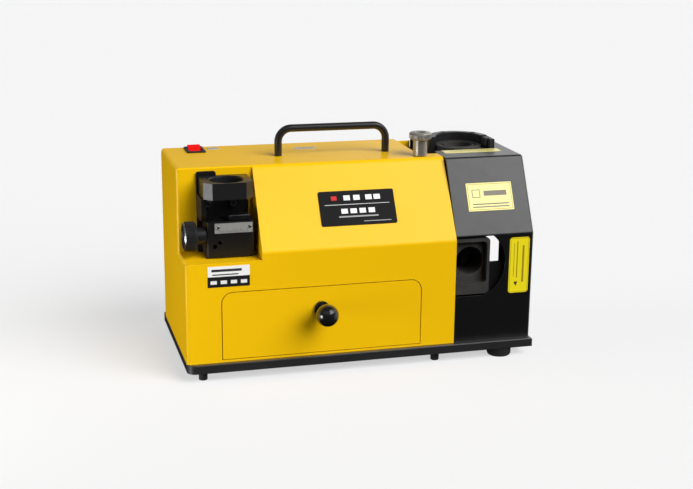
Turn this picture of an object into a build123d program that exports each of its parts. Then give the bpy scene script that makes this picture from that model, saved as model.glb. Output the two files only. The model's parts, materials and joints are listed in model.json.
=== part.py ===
from build123d import *
import os

# Bench grinder for the tips of end mills and drill bits.  X runs left to right, Y front to back, Z up.
# Pieces are laid out from the housing's left face, its front face and the floor, in millimetres, and are
# shifted at the end so that the origin is the bottom centre of the whole machine's box.

# --- Base ---
foot_height = 10.0
plate_thick = 9.0
front_ledge = 5.0  # base plate in front of the housing
rear_ledge = 14.0  # and behind it
big_foot_radius = 12.5
small_foot_radius = 4.5

# --- Yellow housing ---
shell_length = 284.0
shell_height = 191.7  # above the base plate
crease_height = 112.6
slope_run = 49.4  # how far the sloping front leans back
shell_wall = 2.0
shell_bend = 7.0
end_round = 3.0
notch_width = 21.0  # where the top is cut back beside the top port
notch_depth = 97.0
niche_width = 77.8
niche_floor = 104.6

# --- Black wheel guard ---
guard_length = 87.2
guard_gap = 0.8
guard_setback = 4.0
guard_crease = 115.4
guard_run = 39.4
guard_drop = 0.2  # guard's top below the housing's
guard_wall = 2.0
guard_bend = 4.0
window_radius = 38.3  # cut-out around the front port
window_offset = 18.5  # from the housing's right edge, like the other offsets
window_height = 84.5
window_sill = 49.5
side_window_middle = 118.0  # clearing window in the right-hand side
side_window_sill = 50.0
side_window_depth = 46.0
side_window_height = 46.0
side_window_corner = 6.0

# --- Drive ---
wheel_margin = 3.0  # wheel to the back of its guard
axis_height = 94.0
motor_radius = 38.0
motor_wall = 3.0
motor_left = 94.0
bell_thick = 16.0
shaft_radius = 7.5
bearing_radius = 17.5
bearing_width = 11.0
bulkhead_setback = 42.0  # from the housing's right edge
bulkhead_thick = 8.0
wheel_offset = 13.0
wheel_radius = 50.0
wheel_width = 20.0
rim_depth = 8.0
hub_radius = 10.0

# --- Ports ---
port_radius = 15.0
front_port_offset = 19.7
front_port_height = 85.5
port_block_margin = 5.0
port_block_height = 61.0
port_block_front = 6.0
port_pocket_depth = 8.0
port_pocket_rim = 3.0
bracket_front = 46.0
wheel_clearance = 9.0  # bracket to the wheel
bracket_wall = 8.0
port_deck_thick = 6.0
port_deck_drop = 9.5  # port deck's top below the guard's
top_port_offset = 38.0
top_port_setback = 58.0
top_face_radius = 25.0
top_face_rise = 1.5  # port face above the guard's top
collar_radius = 34.0
collar_rise = 10.5  # above the guard's top

# --- Drawer ---
drawer_left = 36.5
drawer_margin = 38.0  # drawer to the housing's right edge
drawer_bottom = 3.0
drawer_height = 70.0
drawer_corner = 11.0
drawer_gap = 0.8
drawer_face = 2.0
tray_back_gap = 16.0
tray_headroom = 10.0
tray_wall = 1.2
rail_width = 12.0
rail_thick = 3.6
tray_lift = 0.4  # running gap between tray and rails
pull_shift = 2.25  # knob to the left of the drawer's middle
pull_height = 50.0
pull_radius = 11.5
pull_reach = 25.0

# --- Handle ---
handle_pitch = 118.0
handle_inset = 110.5  # handle's middle to the housing's right edge
handle_setback = 73.5
handle_rise = 29.0  # housing top to the grip's middle
handle_radius = 4.0
handle_bend = 14.0

# --- Rocker switch ---
switch_x = 33.4
switch_setback = 25.0
bezel_width = 20.0
bezel_depth = 31.0
bezel_lip = 1.8
rocker_width = 13.5
rocker_half = 11.3
rocker_tilt = 11.0
rocker_rise = 6.2
rocker_pin_half = 8.4  # pivot pin, half its length

# --- Top adjuster screw ---
adjuster_inset = 22.6
adjuster_ahead = 9.0  # in front of the notch
adjuster_head_radius = 12.0
adjuster_head_thick = 7.0
adjuster_stem_radius = 7.5
adjuster_stem_rise = 18.5
adjuster_nut_drop = 44.7

# --- Setting fixture in the corner niche ---
ring_left = 22.0
ring_width = 50.0
ring_front = 7.5
ring_bottom = 166.5
ring_thick = 17.0
ring_bore = 17.0
ring_centre_y = 27.2
ring_bevel = 8.0
fixture_back = 49.2
back_plate = 3.0
ear_width = 20.0
ear_drop = 3.7
block_left = 25.0
block_width = 48.0
block_front = 16.0
block_bottom = 106.0
block_top = 142.5
dial_radius = 15.0
dial_left = 2.0
dial_width = 13.0
dial_y = 24.0
dial_height = 127.5

# --- Shared fits and fasteners ---
running_fit = 0.06  # radial, shaft in bearing hole
slack = 0.3  # between pieces that pass each other
screw_radius = 2.0
screw_fit = 0.05
spindle_radius = 3.0
label_thick = 0.3
spare = 20.0  # how far cutting solids overrun

# --- Places that follow from the sizes above ---
deck = foot_height + plate_thick
shell_depth = bracket_front + bracket_wall + wheel_clearance + 2 * wheel_radius + wheel_margin
plate_back = shell_depth + rear_ledge
shell_top = deck + shell_height
guard_left = shell_length + guard_gap
plate_length = guard_left + guard_length
guard_height = shell_height - guard_drop
guard_top = deck + guard_height
bracket_top = guard_height - port_deck_drop
bulkhead_height = bracket_top - port_deck_thick
collar_height = guard_height + collar_rise
window_x = shell_length + window_offset
notch_left = shell_length - notch_width
notch_front = shell_depth - notch_depth
axis_y = bracket_front + bracket_wall + wheel_clearance + wheel_radius
port_block_width = 2 * (port_radius + port_block_margin)
tray_depth = shell_depth - drawer_face - tray_back_gap
tray_height = axis_height - motor_radius - tray_headroom
bulkhead_left = shell_length - bulkhead_setback
wheel_left = shell_length + wheel_offset
front_port_x = shell_length + front_port_offset
top_port_x = shell_length + top_port_offset
top_port_y = shell_depth - top_port_setback
drawer_width = shell_length - drawer_margin - drawer_left
pull_x = drawer_left + drawer_width / 2 - pull_shift
handle_middle = shell_length - handle_inset
handle_y = shell_depth - handle_setback
switch_y = shell_depth - switch_setback
adjuster_x = shell_length - adjuster_inset
adjuster_y = notch_front - adjuster_ahead
adjuster_nut_height = shell_height - adjuster_nut_drop
ear_height = shell_height - ear_drop
axis_z = deck + axis_height
motor_right = bulkhead_left
rear_bell_left = motor_left
can_left = rear_bell_left + bell_thick
motor_length = motor_right - bell_thick - can_left
bulkhead_right = bulkhead_left + bulkhead_thick
rim_outer = wheel_radius
rim_inner = wheel_radius - rim_depth
port_z = deck + front_port_height
port_block_left = front_port_x - port_block_width / 2
port_block_right = front_port_x + port_block_width / 2
port_block_bottom = deck + window_sill + 1.5
port_block_top = port_block_bottom + port_block_height
collar_inner = top_face_radius + 0.5
tray_left = drawer_left + 3.5
tray_right = drawer_left + drawer_width - 8.5
tray_bottom = deck + rail_thick + tray_lift
tray_back = drawer_face + tray_depth
pull_z = deck + pull_height
pivot_z = shell_top - 3.0
ring_middle = ring_left + ring_width / 2
spindle_z = deck + dial_height

FROM_BASE = (Align.CENTER, Align.CENTER, Align.MIN)
LEFT, RIGHT = (-1, 0, 0), (1, 0, 0)
FORWARD, BACK = (0, -1, 0), (0, 1, 0)
DOWN, UP = (0, 0, -1), (0, 0, 1)
parts = {}


def block(x, y, z):
    """Box between the low and high value of each axis."""
    sides = [high - low for low, high in (x, y, z)]
    middle = [(high + low) / 2 for low, high in (x, y, z)]
    return Pos(*middle) * Box(*sides)


def rod(start, direction, radius, length):
    """Cylinder that grows from start along direction."""
    return Plane(origin=start, z_dir=direction) * Cylinder(radius, length, align=FROM_BASE)


def tube(start, direction, outer, inner, length):
    """Ring or pipe that grows from start along direction."""
    return rod(start, direction, outer, length) - rod(start, direction, inner, length)


def group(solids):
    """Several separate solids that share one node."""
    return Compound(list(solids))


def cap_screw(seat, direction, length, head=3.5, radius=screw_radius):
    """Socket cap screw whose shank grows from its seat along direction, with the head behind the seat."""
    behind = [-d for d in direction]
    top = [s + 2 * radius * b for s, b in zip(seat, behind)]
    body = rod(seat, direction, radius, length) + rod(seat, behind, head, 2 * radius)
    socket = Plane(origin=top, z_dir=direction) * extrude(RegularPolygon(radius * 0.85, 6), radius)
    return body - socket


def pan_screw(seat, direction, length, head=4.0, rise=2.2):
    """Cross-slotted pan-head screw on a sheet panel."""
    behind = [-d for d in direction]
    cap = rod(seat, behind, head, rise)
    rim = cap.edges().sort_by(Axis(seat, behind))[-1]
    cap = fillet(rim, rise * 0.45)
    top = [s + rise * b for s, b in zip(seat, behind)]
    cross = Plane(origin=top, z_dir=direction) * (Box(head, 0.8, 1.6) + Box(0.8, head, 1.6))
    return rod(seat, direction, screw_radius, length) + cap - cross


def housing_outline(front, crease, run, height, depth, bend):
    """Side outline of a sheet housing in Y and Z, carried down past the base plate's top."""
    low = deck - spare
    corners = [
        (front, low),
        (front, deck + crease),
        (front + run, deck + height),
        (depth, deck + height),
        (depth, low),
    ]
    outline = make_face(Polyline(*corners, close=True))
    return fillet([v for v in outline.vertices() if v.Y > deck], bend)


def below_deck():
    return block((-spare, plate_length + spare), (-spare, shell_depth + spare), (-spare, deck))


# Screws that come up from below: (x, y) of each, into the tabs of the housing and of the guard.
tab_size = 12.0
tab_thick = 2.5
shell_tabs = [(shell_wall + 6, 62), (shell_wall + 6, shell_depth - 18)]
shell_tabs += [(90, shell_depth - 8), (shell_length - 68, shell_depth - 8)]
side_tabs = [(plate_length - guard_wall - 6, y) for y in (30, shell_depth - 16)]
side_tabs += [(guard_left + 32, shell_depth - 8)]
front_tab = (guard_left + 30, guard_setback + 8)
guard_tabs = side_tabs + [front_tab]
big_feet = [(plate_length - 33, 8), (28, plate_back - 22), (plate_length - 28, plate_back - 22)]
small_feet = [(17, 7), (shell_length - 18.5, 7)]
frame_bolt_radius = 2.5
foot_recess = 3.0  # depth of the screw's seat in a rubber foot
bulkhead_bolts = [(bulkhead_right + 9, y) for y in (34, shell_depth - 76, shell_depth - 20)]
bracket_bolts = [(front_port_x - 12, bracket_front + 16), (front_port_x + 30, bracket_front + 16)]


def make_base():
    low, high = foot_height, deck
    plate = block((0, plate_length), (-front_ledge, plate_back), (low, high))
    front_left = plate.edges().filter_by(Axis.Z).sort_by(Axis.Y)[:2].sort_by(Axis.X)[0]
    plate = fillet(front_left, 9)
    plate = fillet(plate.edges().filter_by(Axis.Z).sort_by(Axis.Y)[-2:], 4)
    plate = chamfer(plate.edges().group_by(Axis.Z)[-1], 0.8)
    for x, y in shell_tabs + guard_tabs:
        plate -= rod((x, y, low - 1), UP, screw_radius + screw_fit, plate_thick + 2)
        plate -= rod((x, y, low - 1), UP, 4.5, 6)
    for x, y in big_feet + small_feet:
        plate -= rod((x, y, low - 1), UP, screw_radius + screw_fit, plate_thick - 1)
    for x, y in bulkhead_bolts + bracket_bolts:
        plate -= rod((x, y, high - plate_thick + 2), UP, frame_bolt_radius + screw_fit, plate_thick)
    parts["base_plate"] = plate

    feet = []
    for x, y in small_feet:
        pad = rod((x, y, 0), UP, small_foot_radius, foot_height)
        pad = fillet(pad.edges().group_by(Axis.Z)[0], 1)
        feet.append(pad + rod((x, y, foot_height), UP, screw_radius, plate_thick - 3))
    for x, y in big_feet:
        foot = rod((x, y, 0), UP, big_foot_radius, foot_height)
        foot = fillet(foot.edges().group_by(Axis.Z)[0], 1.5)
        foot -= rod((x, y, -1), UP, 5.5, 1 + foot_recess)
        foot -= rod((x, y, 0), UP, screw_radius + screw_fit, foot_height)
        feet.append(foot)
    parts["feet"] = group(feet)

    screws = [cap_screw((x, y, low + 5), UP, plate_thick - 5 + tab_thick) for x, y in shell_tabs + guard_tabs]
    screws += [flat_screw((x, y, foot_recess), deck - 2 * foot_recess) for x, y in big_feet]
    parts["base_screws"] = group(screws)


def flat_screw(seat, length):
    """Low-headed screw that holds a rubber foot, driven from below."""
    x, y, z = seat
    head = rod((x, y, z - 1.6), UP, 4.2, 1.6)
    slot = block((x - 3, x + 3), (y - 0.5, y + 0.5), (z - 2, z - 0.8))
    return head + rod(seat, UP, screw_radius, length) - slot


def drawer_outline(grow):
    """Drawer front's face in X and Z, round at its top corners."""
    width, height = drawer_width + 2 * grow, drawer_height + 2 * grow
    face = Pos(width / 2, height / 2) * Rectangle(width, height)
    face = fillet(face.vertices().group_by(Axis.Y)[-1], drawer_corner + grow)
    place = Plane(origin=(drawer_left - grow, 0, deck + drawer_bottom - grow), x_dir=RIGHT, z_dir=FORWARD)
    return place * face


fixture_screws = [(ring_left + 9, deck + 155), (ring_left + 35, deck + 155)]
handle_legs = [handle_middle - handle_pitch / 2, handle_middle + handle_pitch / 2]
bush_radius = 6.0
rear_opening = ((22, shell_length - 36), (20, shell_height - 23.7))  # X and height above the base plate
rear_columns = (14, shell_length / 2 - 6, shell_length - 26)
rear_screws = [(x, h) for x in rear_columns for h in (12, shell_height - 15.7)]
sheet = 1.5


def make_shell():
    outline = housing_outline(0, crease_height, slope_run, shell_height, shell_depth, shell_bend)
    top = shell_top + spare
    step = deck + niche_floor
    outer = extrude(Plane.YZ * outline, shell_length)
    outer -= block((-spare, niche_width), (-spare, slope_run), (step, top))
    outer = fillet(outer.edges().group_by(Axis.X)[0], end_round)
    cavity = extrude(Plane.YZ.offset(shell_wall) * offset(outline, -shell_wall), shell_length)
    wall = shell_wall
    cavity -= block((-spare, niche_width + wall), (-spare, slope_run + wall), (step - wall, top))
    shell = outer - cavity - below_deck()

    shell -= extrude(drawer_outline(drawer_gap), shell_wall + 1, both=True)
    shell -= block((notch_left, shell_length + 1), (notch_front, shell_depth - 1), (shell_top - spare, top))
    (left, right), (low, high) = rear_opening
    shell -= block((left, right), (shell_depth - 5, shell_depth + 5), (deck + low, deck + high))
    lip = 1.0
    half_x, half_y = bezel_width / 2 - lip, bezel_depth / 2 - lip
    cut_y = (switch_y - half_y, switch_y + half_y)
    shell -= block((switch_x - half_x, switch_x + half_x), cut_y, (shell_top - 5, top))
    for x in handle_legs:
        shell -= rod((x, handle_y, shell_top - 5), UP, frame_bolt_radius + screw_fit, 10)
    shell -= rod((adjuster_x, adjuster_y, shell_top - 5), UP, bush_radius + screw_fit, 10)
    for x, z in fixture_screws:
        shell -= rod((x, slope_run - 5, z), BACK, screw_radius + screw_fit, 12)
    for x, height in rear_screws:
        shell -= rod((x, shell_depth - 5, deck + height), BACK, screw_radius + screw_fit, 10)
    for x, y in shell_tabs:
        reach = tab_size / 2
        if y > shell_depth - tab_size:
            tab = block((x - reach, x + reach), (y - reach, shell_depth - 1), (deck, deck + tab_thick))
        else:
            tab = block((1, x + reach), (y - reach, y + reach), (deck, deck + tab_thick))
        shell += tab - rod((x, y, deck - 1), UP, screw_radius + screw_fit, tab_thick + 2)
    parts["body_shell"] = shell


def make_rear_panel():
    panel = block((8, shell_length - 20), (shell_depth, shell_depth + sheet), (deck + 6, shell_top - 9.7))
    panel = fillet(panel.edges().filter_by(Axis.Y), 6)
    slot_length, slot_half = 56.0, 1.8
    for column in (118, shell_length - 94):
        for row in range(9):
            z = deck + 64 + row * 11
            slot_z = (z - slot_half, z + slot_half)
            panel -= block((column, column + slot_length), (shell_depth - 1, shell_depth + 5), slot_z)
    panel -= inlet_body(0.4)
    for x, height in rear_screws:
        panel -= rod((x, shell_depth - 1, deck + height), BACK, screw_radius + screw_fit, 5)
    for x in inlet_screws:
        panel -= rod((x, shell_depth - 1, inlet_z), BACK, screw_radius + screw_fit, 5)
    parts["rear_panel"] = panel

    seat = shell_depth + sheet
    screws = [pan_screw((x, seat, deck + h), FORWARD, sheet + shell_wall + 2) for x, h in rear_screws]
    screws += [pan_screw((x, seat + inlet_flange, inlet_z), FORWARD, 8, rise=1.4) for x in inlet_screws]
    parts["cover_screws"] = group(screws)


inlet_x = 58.0
inlet_z = deck + 96
inlet_width = 27.4
inlet_height = 20.0
inlet_depth = 26.0
inlet_flange = 2.0
inlet_screws = [inlet_x - 20, inlet_x + 20]


def inlet_body(grow):
    """Body of the power inlet that stands inside the housing."""
    half_x, half_z = inlet_width / 2 + grow, inlet_height / 2 + grow
    depth = (shell_depth - inlet_depth, shell_depth + sheet)
    return block((inlet_x - half_x, inlet_x + half_x), depth, (inlet_z - half_z, inlet_z + half_z))


def make_electrics():
    face = shell_depth + sheet
    flange = block((inlet_x - 25, inlet_x + 25), (face, face + inlet_flange), (inlet_z - 13, inlet_z + 13))
    flange = fillet(flange.edges().filter_by(Axis.Y), 5)
    inlet = inlet_body(0) + flange
    inlet -= block((inlet_x - 11.5, inlet_x + 11.5), (face - 16, face + 5), (inlet_z - 7.8, inlet_z + 7.8))
    for dx, dz in ((-6, -1.5), (0, 2.5), (6, -1.5)):
        x, z = inlet_x + dx, inlet_z + dz
        inlet += block((x - 1, x + 1), (face - 17, face - 2), (z - 2, z + 2))
    for x in inlet_screws:
        inlet -= rod((x, face - 1, inlet_z), BACK, screw_radius + screw_fit, 5)
    parts["power_inlet"] = inlet

    shelf_z, left = deck + 56, 5.0
    shelf_y = (shell_depth - 88, shell_depth - 26)
    shelf = block((left, motor_left - 10), shelf_y, (shelf_z, shelf_z + sheet))
    shelf += block((left, left + sheet), shelf_y, (deck, shelf_z + sheet))
    shelf += block((left, 30), shelf_y, (deck, deck + sheet))
    parts["electrics_shelf"] = shelf
    top = shelf_z + sheet
    can_radius = 15.0
    can = rod((28, shelf_y[0] + 4, top + can_radius), BACK, can_radius, 52)
    can = fillet(can.edges().group_by(Axis.Y)[0], 3)
    tab_y = (shelf_y[1] - 6, shelf_y[1])
    can += group([block((28 + dx - 0.4, 28 + dx + 0.4), tab_y, (top + 13, top + 19)) for dx in (-5, 5)])
    parts["capacitor"] = can


def make_guard():
    outline = housing_outline(guard_setback, guard_crease, guard_run, guard_height, shell_depth, guard_bend)
    outer = extrude(Plane.YZ.offset(guard_left) * outline, guard_length)
    outer = fillet(outer.edges().group_by(Axis.X)[-1], 2.5)
    inner = offset(outline, -guard_wall)
    cavity = extrude(Plane.YZ.offset(guard_left - 1) * inner, guard_length + 1 - guard_wall)
    guard = outer - cavity - below_deck()
    window = rod((window_x, guard_setback - 5, deck + window_height), BACK, window_radius, 12)
    reach = window_radius + 2
    low, high = deck + window_sill, deck + guard_crease - 1
    window &= block((window_x - reach, window_x + reach), (-10, 20), (low, high))
    guard -= window
    rise = (guard_top - 10, guard_top + 10)
    guard -= rod((top_port_x, top_port_y, rise[0]), UP, top_face_radius + 0.6, 20)
    rear_disc = rod((top_port_x, top_port_y, rise[0]), UP, collar_radius + 0.6, 20)
    guard -= rear_disc & block((0, plate_length), (top_port_y - 1, shell_depth - 8), rise)
    slot_y = (top_port_y - top_face_radius, top_port_y + collar_radius + 0.6)
    guard -= block((guard_left - 1, top_port_x - 12), slot_y, rise)
    post_x, post_y = stop_place()
    guard -= block((post_x - 5.6, post_x + 5.6), (post_y - 10.6, top_port_y + 1), rise)
    side_x = (plate_length - 5, plate_length + 5)
    side_y = (side_window_middle - side_window_depth / 2, side_window_middle + side_window_depth / 2)
    side_z = (deck + side_window_sill, deck + side_window_sill + side_window_height)
    guard -= fillet(block(side_x, side_y, side_z).edges().filter_by(Axis.X), side_window_corner)

    whole_y, whole_z = (-spare, shell_depth + spare), (deck - 1, guard_top + spare)
    end = block((plate_length - guard_wall, plate_length + spare), whole_y, whole_z)
    back_y = (shell_depth - guard_bend, shell_depth + spare)
    end += block((guard_left - 1, plate_length + spare), back_y, whole_z)
    lid_y = (guard_setback + guard_run + guard_bend, shell_depth - guard_bend)
    lid_z = (guard_top - guard_wall, guard_top + spare)
    lid = block((guard_left - 1, plate_length - guard_wall), lid_y, lid_z)
    front, side = guard - end - lid, guard & end
    parts["guard_top"] = guard & lid

    reach = tab_size / 2
    for x, y in side_tabs:
        far_x = plate_length - 1 if x > plate_length - tab_size else x + reach
        far_y = shell_depth - 1 if y > shell_depth - tab_size else y + reach
        tab = block((x - reach, far_x), (y - reach, far_y), (deck, deck + tab_thick))
        side += tab - rod((x, y, deck - 1), UP, screw_radius + screw_fit, tab_thick + 2)
    parts["guard_side"] = side
    x, y = front_tab
    tab = block((x - reach, x + reach), (guard_setback + 1, y + reach), (deck, deck + tab_thick))
    parts["wheel_guard"] = front + tab - rod((x, y, deck - 1), UP, screw_radius + screw_fit, tab_thick + 2)


def stop_place():
    """Middle of the stop post's rear edge, at the right end of the half collar."""
    return top_port_x + collar_radius - 4, top_port_y - 10


def make_bulkhead():
    back = shell_depth - 6
    profile = [(14, 0), (14, crease_height - 8.6), (slope_run + 0.6, bulkhead_height)]
    profile += [(back, bulkhead_height), (back, 0)]
    face = make_face(Polyline(*[(y, deck + h) for y, h in profile], close=True))
    plate = extrude(Plane.YZ.offset(bulkhead_left) * face, bulkhead_thick)
    foot_reach = 18.0
    plate += block((bulkhead_right, bulkhead_right + foot_reach), (14, back), (deck, deck + foot_thick))
    plate -= rod((bulkhead_left - 1, axis_y, axis_z), RIGHT, bearing_radius - 1, bulkhead_thick + 2)
    for y, z in bell_bolts():
        plate -= rod((bulkhead_left - 1, y, z), RIGHT, screw_radius + screw_fit, bulkhead_thick + 2)
    for x, y in bulkhead_bolts:
        plate -= rod((x, y, deck - 1), UP, frame_bolt_radius + screw_fit, foot_thick + 2)
    for y in top_bolts:
        plate -= rod((bulkhead_left + 4, y, deck + bulkhead_height - 12), UP, 2.05, 20)
    parts["bulkhead"] = plate


top_bolts = [shell_depth - 76, shell_depth - 20]
foot_thick = 7.0


def bell_bolts():
    """Y and Z of the four screws that hold the motor to the bulkhead."""
    reach = (motor_radius - 7) * 0.7071
    return [(axis_y + sy * reach, axis_z + sz * reach) for sy in (-1, 1) for sz in (-1, 1)]


def make_port_bracket():
    top = deck + bracket_top
    under = deck + bulkhead_height
    left, right = guard_left, port_block_right + 18
    back = bracket_front + bracket_wall
    step_low = deck + window_sill
    bracket = block((left, port_block_right), (bracket_front, back), (deck, under))
    bracket += block((left, right), (bracket_front, back), (deck, step_low + step_thick))
    bracket += block((left, right), (back, back + 16), (deck, deck + foot_thick))
    for x in (left + 2, port_block_right - 6):
        rib = make_face(Polyline((back, under), (back + 12, under), (back, under - 20), close=True))
        bracket += extrude(Plane.YZ.offset(x) * rib, 4)
    bracket -= rod((front_port_x, bracket_front - 1, port_z), BACK, port_radius + 3, bracket_wall + 2)
    for x, y in bracket_bolts:
        bracket -= rod((x, y, deck - 1), UP, frame_bolt_radius + screw_fit, foot_thick + 2)
    for x, z in port_screws:
        bracket -= rod((x, bracket_front - 1, z), BACK, screw_radius + screw_fit, bracket_wall + 2)
    for x in deck_bolts:
        bracket -= rod((x, bracket_front + bracket_wall / 2, under - 12), UP, screw_radius + screw_fit, 20)
    bracket -= rod((step_bolt[0], bracket_front - 1, step_bolt[1]), BACK, screw_radius + screw_fit, 20)
    parts["port_bracket"] = bracket

    step_x, step_front = (port_block_right + 0.1, right), guard_setback + guard_wall + 4
    step = block(step_x, (step_front, bracket_front), (step_low, step_low + step_thick))
    step += block(step_x, (step_front, step_front + 8), (step_low, deck + 82.5))
    step_hole = rod((step_bolt[0], bracket_front - 12, step_bolt[1]), BACK, screw_radius + screw_fit, 20)
    parts["port_step"] = step - step_hole

    ledge_back = shell_depth - 6
    shelf = block((left, top_port_x + collar_radius + 2), (bracket_front, ledge_back), (under, top))
    shelf += block((bulkhead_left, left), (notch_front + 4, ledge_back), (under, top))
    shelf -= rod((top_port_x, top_port_y, under - 1), UP, port_radius + 7 + screw_fit, 10)
    for x, y in shelf_screws():
        shelf -= rod((x, y, under - 1), UP, screw_radius + screw_fit, 10)
    parts["port_deck"] = shelf

    base_seats = [(x, y, deck + foot_thick) for x, y in bulkhead_bolts + bracket_bolts]
    bolts = [cap_screw(seat, DOWN, foot_thick + 6, 4.25, frame_bolt_radius) for seat in base_seats]
    bolts += [cap_screw((bulkhead_left + 4, y, top), DOWN, 16) for y in top_bolts]
    bolts += [cap_screw((x, bracket_front + bracket_wall / 2, top), DOWN, 16) for x in deck_bolts]
    bolts += [cap_screw((step_bolt[0], back, step_bolt[1]), FORWARD, 18)]
    parts["frame_bolts"] = group(bolts)


step_thick = 12.0
step_bolt = (port_block_right + 9, deck + window_sill + step_thick / 2)  # X and Z
deck_bolts = [port_block_left + 8, port_block_right - 6]


def shelf_screws():
    """X and Y of every M4 hole in the plate that carries the top port."""
    along_wall = [(x, bracket_front + bracket_wall / 2) for x in deck_bolts]
    return collar_screws() + along_wall + [(bulkhead_left + 4, y) for y in top_bolts]


port_screw_grip = 12.0  # depth of the screws in the block, from behind
port_screws = [(port_block_right - 6, port_block_bottom + 6), (port_block_right - 6, port_block_top - 6)]


def make_front_port():
    height = (port_block_bottom, port_block_top)
    body = block((port_block_left, port_block_right), (port_block_front, bracket_front), height)
    body = fillet(body.edges().filter_by(Axis.Y).group_by(Axis.X)[-1], 4)
    pocket = block(
        (port_block_left - 5, port_block_right - port_pocket_rim),
        (port_block_front - 1, port_block_front + port_pocket_depth),
        (port_block_bottom + 12, port_block_top - 4),
    )
    pocket = fillet(pocket.edges().filter_by(Axis.Y).group_by(Axis.X)[-1], 4)
    body -= pocket
    bore_start = port_block_front + port_pocket_depth
    bore = rod((front_port_x, bore_start - 1, port_z), BACK, port_radius, bracket_front)
    body -= bore
    mouth = body.edges().filter_by(GeomType.CIRCLE).filter_by(lambda e: abs(e.radius - port_radius) < 0.01)
    body = chamfer(mouth.sort_by(Axis.Y)[0], 0.7)
    for x, z in port_screws:
        body -= rod((x, bracket_front + 1, z), FORWARD, screw_radius + screw_fit, port_screw_grip + 2)
    parts["front_port_block"] = body


def collar_screws():
    """X and Y of the two screws that hold the half collar down."""
    middle = (collar_radius + collar_inner) / 2
    return [(top_port_x + middle * c, top_port_y + middle * s) for c, s in ((-0.3, 0.954), (0.8, 0.6))]


def make_top_port():
    seat = deck + bracket_top
    face = guard_height + top_face_rise
    low = bulkhead_height - 4
    body = rod((top_port_x, top_port_y, seat), UP, top_face_radius, face - bracket_top)
    body += rod((top_port_x, top_port_y, deck + low), UP, port_radius + 7, face - low)
    body -= rod((top_port_x, top_port_y, deck + 150), UP, port_radius, 60)
    recess = tube((top_port_x, top_port_y, deck + face - 1), UP, port_radius + 5, port_radius + 2.5, 4)
    parts["top_port_block"] = body - recess

    height = collar_height - bracket_top
    ring = tube((top_port_x, top_port_y, seat), UP, collar_radius, collar_inner, height)
    keep = block((0, plate_length), (top_port_y + 0.5, shell_depth), (seat, deck + collar_height))
    collar = ring & keep
    collar = chamfer(collar.edges().group_by(Axis.Z)[-1].filter_by(GeomType.CIRCLE), 0.8)
    for x, y in collar_screws():
        collar -= rod((x, y, seat - 1), UP, screw_radius + screw_fit, height + 2)
        collar -= rod((x, y, deck + collar_height - 4.5), UP, 3.4, 6)
    parts["top_port_collar"] = collar

    post_x, post_y = stop_place()
    top = deck + collar_height - 1
    post = block((post_x - 3.4, post_x + 5), (post_y - 10, post_y + 10.2), (seat, top))
    post -= rod((top_port_x, top_port_y, seat - 1), UP, top_face_radius + 0.1, 40)
    post -= block((post_x - 10, post_x - 0.4), (post_y - 11, post_y - 4), (seat + 8, top + 1))
    parts["stop_post"] = chamfer(post.edges().group_by(Axis.Z)[-1], 0.6)


def make_socket_screws():
    """All the M4 socket cap screws of the ports and the setting fixture."""
    back = bracket_front + bracket_wall
    screws = [cap_screw((x, back, z), FORWARD, bracket_wall + port_screw_grip) for x, z in port_screws]
    screws += [cap_screw((x, y, deck + collar_height - 4.5), DOWN, 24, 3.3) for x, y in collar_screws()]
    screws += [cap_screw((x, fixture_back - back_plate, z), BACK, 9) for x, z in fixture_screws]
    parts["socket_screws"] = group(screws)


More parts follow.
